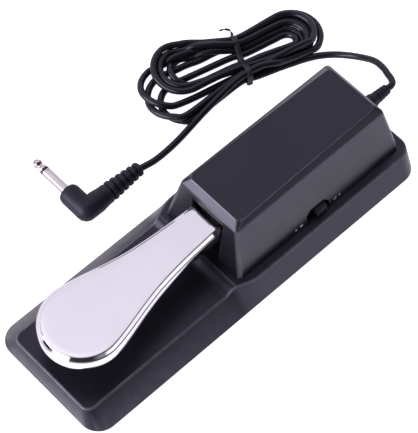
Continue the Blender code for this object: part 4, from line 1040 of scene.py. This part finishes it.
def build_tie(route):
    """A flat twist tie drawn round the bundle."""
    under = strands_under_tie(route)
    left_edge = min(u for u, z in under) - CORD_RADIUS - TIE_THICKNESS * 0.4
    right_edge = max(u for u, z in under) + CORD_RADIUS + TIE_THICKNESS * 0.4
    over = over_the_bundle(under, left_edge, right_edge)
    left_top, right_top = over[0][1], over[-1][1]
    path = [(u, height + TIE_THICKNESS * 0.6) for u, height in over]
    shares = [i / 6 for i in range(1, 6)]
    right = [(right_edge + 0.0004, right_top * (1 - t) + 0.0006 * t) for t in shares]
    left = [(left_edge - 0.0004, left_top * t + 0.0006 * (1 - t)) for t in shares]
    below = [(right_edge + (left_edge - right_edge) * i / 12, 0.0004) for i in range(13)]
    loop = path + right + below + left
    rings = []
    for i, (u, z) in enumerate(loop):
        after, before = loop[(i + 1) % len(loop)], loop[i - 1]
        along = Vector((after[0] - before[0], after[1] - before[1])).normalized()
        outward = Vector((-along.y, along.x)) * TIE_THICKNESS / 2
        ring = []
        for v, out in ((-1, -1), (1, -1), (1, 0.2), (0.35, 1), (-0.35, 1), (-1, 0.2)):
            spot = TIE_CENTRE + TIE_ACROSS * (u + outward.x * out) + TIE_FORWARD * (v * TIE_WIDTH / 2)
            spot.z = max(z + outward.y * out, 0.00005)
            ring.append(spot)
        rings.append(ring)
    dress(smooth(loft("twist_tie", rings, tube=True), sharp_degrees=50.0), "tie", "cord_tie")
    build_tie_tail(left_edge, over[3][1])


def build_tie_tail(left_edge, height):
    """The tie's ends, twisted together into one tail that narrows and curls."""
    start = TIE_CENTRE + TIE_ACROSS * (left_edge + 0.0020)
    start.z = height + 0.0003
    curl = [tuple(start + Vector(step)) for step in TIE_CURL]
    flat = [(-0.0010, -0.0003), (0.0010, -0.0003), (0.0010, 0.0003), (-0.0010, 0.0003)]

    def section(share):
        cosine, sine = math.cos(TIE_TWIST * share), math.sin(TIE_TWIST * share)
        narrow = 1.0 - 0.45 * share
        return [(u * narrow * cosine - v * sine, u * narrow * sine + v * cosine) for u, v in flat]

    tail = sweep("tie_tail", through(curl, 0.0004), section)
    dress(smooth(tail, sharp_degrees=60.0), "tie")


def build_boot():
    """The moulded strain relief: a flange inside the wall, a collar and a tapering ribbed sleeve."""
    end = BOOT_END_Y - BOOT_START_Y
    r = BOOT_RADIUS
    profile = [(0.0, 0.0), (0.0060, 0.0), (0.0062, 0.0002), (0.0062, 0.0043), (0.0060, 0.0046), (r, 0.0050),
               (r, 0.0148), (r * 1.17, 0.0150), (r * 1.20, 0.0154), (r * 1.17, 0.0222), (r * 1.14, 0.0226),
               (r, 0.0229)]
    ribs = 4
    step = (end - 0.0250) / ribs
    for i in range(ribs):
        start = 0.0236 + step * i
        outer = r * (1.0 - 0.16 * i / ribs)
        profile += [(outer, start), (outer * 0.99, start + step * 0.55), (outer * 0.88, start + step * 0.62),
                    (outer * 0.88, start + step * 0.92)]
    profile += [(r * 0.84, end - 0.0010), (r * 0.80, end - 0.0003), (r * 0.70, end), (0.0, end)]
    boot = turned("strain_relief", profile, (0, BOOT_START_Y, CORD_EXIT_Z), (0, 1, 0), 56)
    return dress(smooth(boot, rounding=0.00012), "moulded_rubber", "cord_boot")


def on_plug_axis(name, profile, x):
    """A turned part of the plug, with its near end at x."""
    return turned(name, profile, (x, PLUG_ELBOW.y, PLUG_ELBOW.z), (1, 0, 0))


def build_plug_moulding():
    """The plug's right-angle body with its ribbed boot. The cord leaves it along Y."""
    elbow = PLUG_ELBOW
    r = PLUG_BODY_RADIUS

    def dome(start, degrees):
        return (r * math.cos(math.radians(degrees)), start + r * math.sin(math.radians(degrees)))

    reach = elbow.x - PLUG_NOSE_X
    nose = [(0.0, 0.0), (0.0044, 0.0), (0.0054, 0.0001), (0.0062, 0.0006), (0.0068, 0.0015),
            (0.0072, 0.0028), (r, 0.0042), (r, reach), *[dome(reach, a) for a in (20, 40, 60, 75)],
            (0.0, reach + r)]
    leg = [(0.0, 0.0), *[dome(r, a) for a in (-75, -60, -40, -20, 0)],
           (r, r * 2.2), (0.0070, r * 2.5), (0.0066, r * 2.9), (0.0065, r * 3.40)]
    leg_length = PLUG_BOOT_END_Y - (elbow.y - r)
    ribs = 6
    first, last = r * 3.44, leg_length - 0.0006
    step = (last - first) / ribs
    for i in range(ribs):
        start = first + step * i
        outer = 0.0066 + (0.0048 - 0.0066) * i / (ribs - 1)
        leg += [(outer - 0.0014, start + step * 0.04), (outer - 0.0014, start + step * 0.30),
                (outer - 0.0002, start + step * 0.38), (outer, start + step * 0.50),
                (outer, start + step * 0.84), (outer - 0.0003, start + step * 0.95)]
    leg += [(0.0032, leg_length), (0.0, leg_length)]
    body = on_plug_axis("plug_moulding", nose, PLUG_NOSE_X)
    combine(body, joins=[turned("leg", leg, (elbow.x, elbow.y - r, elbow.z), (0, 1, 0))])
    return dress(smooth(body, sharp_degrees=40.0), "moulded_rubber", "plug_body")


def build_plug_pin():
    """The plug's metal point, its insulating band and its shank, which lie along X."""
    tip = [(0.0, 0.0), (0.0006, 0.00004), (0.0012, 0.0002), (0.0018, 0.0006), (0.0023, 0.0012),
           (0.0028, 0.0022), (0.0031, 0.0032), (0.0031, 0.0038), (0.0028, 0.0044), (0.0022, 0.0055),
           (0.0021, 0.0060), (0.0022, 0.0066), (0.0029, 0.0077), (0.0030, 0.0079), (0.0030, 0.0092),
           (0.0, 0.0092)]
    point = smooth(on_plug_axis("plug_point", tip, PLUG_TIP_X), sharp_degrees=40.0)
    dress(point, "plug_nickel", "plug_tip")

    ring_x = PLUG_TIP_X + 0.0092 + GAP / 2
    ring = [(0.0, 0.0), (0.0030, 0.0), (0.00312, 0.0001), (0.00312, 0.0014), (0.0030, 0.0015),
            (0.0, 0.0015)]
    band = dress(smooth(on_plug_axis("plug_band", ring, ring_x)), "switch_plastic", "plug_insulator")

    sleeve_x = ring_x + 0.0015 + GAP / 2
    length = PLUG_NOSE_X + GAP - sleeve_x
    r = PLUG_SHANK_RADIUS
    sleeve = [(0.0, 0.0), (r - 0.0002, 0.0), (r, 0.0002), (r, 0.0012), (r - 0.0003, 0.0014),
              (r - 0.0003, 0.0017), (r, 0.0019), (r, length), (0.0, length)]
    shank = dress(smooth(on_plug_axis("plug_shank", sleeve, sleeve_x)), "plug_nickel", "plug_sleeve")
    return [point, band, shank]


# ---- carried-over CAD nodes ----
def finish_cad_nodes():
    """Gives the inner parts, which stay as the CAD has them, a material and slightly rounded edges."""
    for slot, prefixes in SLOT_OF_NODE.items():
        for name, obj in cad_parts.items():
            stem = name if name in prefixes else name.rstrip("0123456789").rstrip("_")
            if stem not in prefixes or obj.hide_render:
                continue
            obj.data.materials.clear()
            obj.data.materials.append(LOOKS[slot].material)
            weld = obj.modifiers.new("weld", "WELD")
            weld.merge_threshold = 0.00001
            add_rounding(obj, 0.00018, 40.0)
            weigh_normals(obj)


# ---- floor and world ----
def add_floor():
    """A plain pale floor that glows a little, so that it stays white. Its light falls off to the left."""
    bm = bmesh.new()
    corners = [(-FLOOR_HALF, -FLOOR_HALF), (FLOOR_HALF, -FLOOR_HALF), (FLOOR_HALF, FLOOR_HALF),
               (-FLOOR_HALF, FLOOR_HALF)]
    bm.faces.new([bm.verts.new((x, y, FLOOR_Z)) for x, y in corners])
    floor = add_object("floor", bm)
    look = Look("floor", (0.80, 0.80, 0.80), 0.9)
    look.set("Emission Color", (0.93, 0.87, 1.0))
    across = look.node("SeparateXYZ", (0, look.place)).outputs["X"]
    lit = look.map_range(across, FLOOR_LEFT_X, FLOOR_RIGHT_X, FLOOR_LIGHT_LEFT, FLOOR_LIGHT_RIGHT)
    seen = look.node("LightPath").outputs["Is Camera Ray"]
    glow = look.node("Mix", ("Factor", seen), (2, lit), (3, FLOOR_SEEN), data_type="FLOAT")
    look.set("Emission Strength", glow.outputs[0])
    floor.data.materials.append(look.material)


def add_world():
    """A dark studio with soft boxes, which the camera itself sees as plain white."""
    world = bpy.data.worlds.new("studio")
    world.use_nodes = True
    SCENE.world = world
    graph = Graph(world.node_tree)
    place = graph.node("TexCoord").outputs["Generated"]

    def along(direction):
        return graph.node("VectorMath", (0, place), (1, Vector(direction).normalized()),
                          operation="DOT_PRODUCT").outputs["Value"]

    def ramp(value, low, high, top=1.0):
        return graph.map_range(value, low, high, 0.0, top, interpolation_type="SMOOTHSTEP")

    total = STUDIO_DARK
    height = along((0, 0, 1))
    for direction, (begins, full), (low, low_full, high_full, high), colour, strength in SOFT_BOXES:
        amount = graph.times(ramp(along(direction), begins, full, strength), ramp(height, low, low_full))
        amount = graph.times(amount, ramp(height, high, high_full))
        light = graph.node("VectorMath", (0, colour), ("Scale", amount), operation="SCALE").outputs["Vector"]
        total = graph.node("VectorMath", (0, light), (1, total), operation="ADD").outputs["Vector"]
    seen = graph.node("LightPath").outputs["Is Camera Ray"]
    graph.put(graph.mix(seen, total, (1.0, 1.0, 1.0)), graph.tree.nodes["Background"].inputs["Color"])


SCENE.view_settings.view_transform = "Standard"
add_camera()
add_floor()
add_world()
CORD, CORD_PATH = build_cord()
build_tie(CORD_PATH)
BOOT = build_boot()
PLUG = [build_plug_moulding(), *build_plug_pin()]
build_base()
build_feet()
build_base_screws()
build_housing()
build_marks()
build_knob()
build_pedal()
build_spring()
finish_cad_nodes()
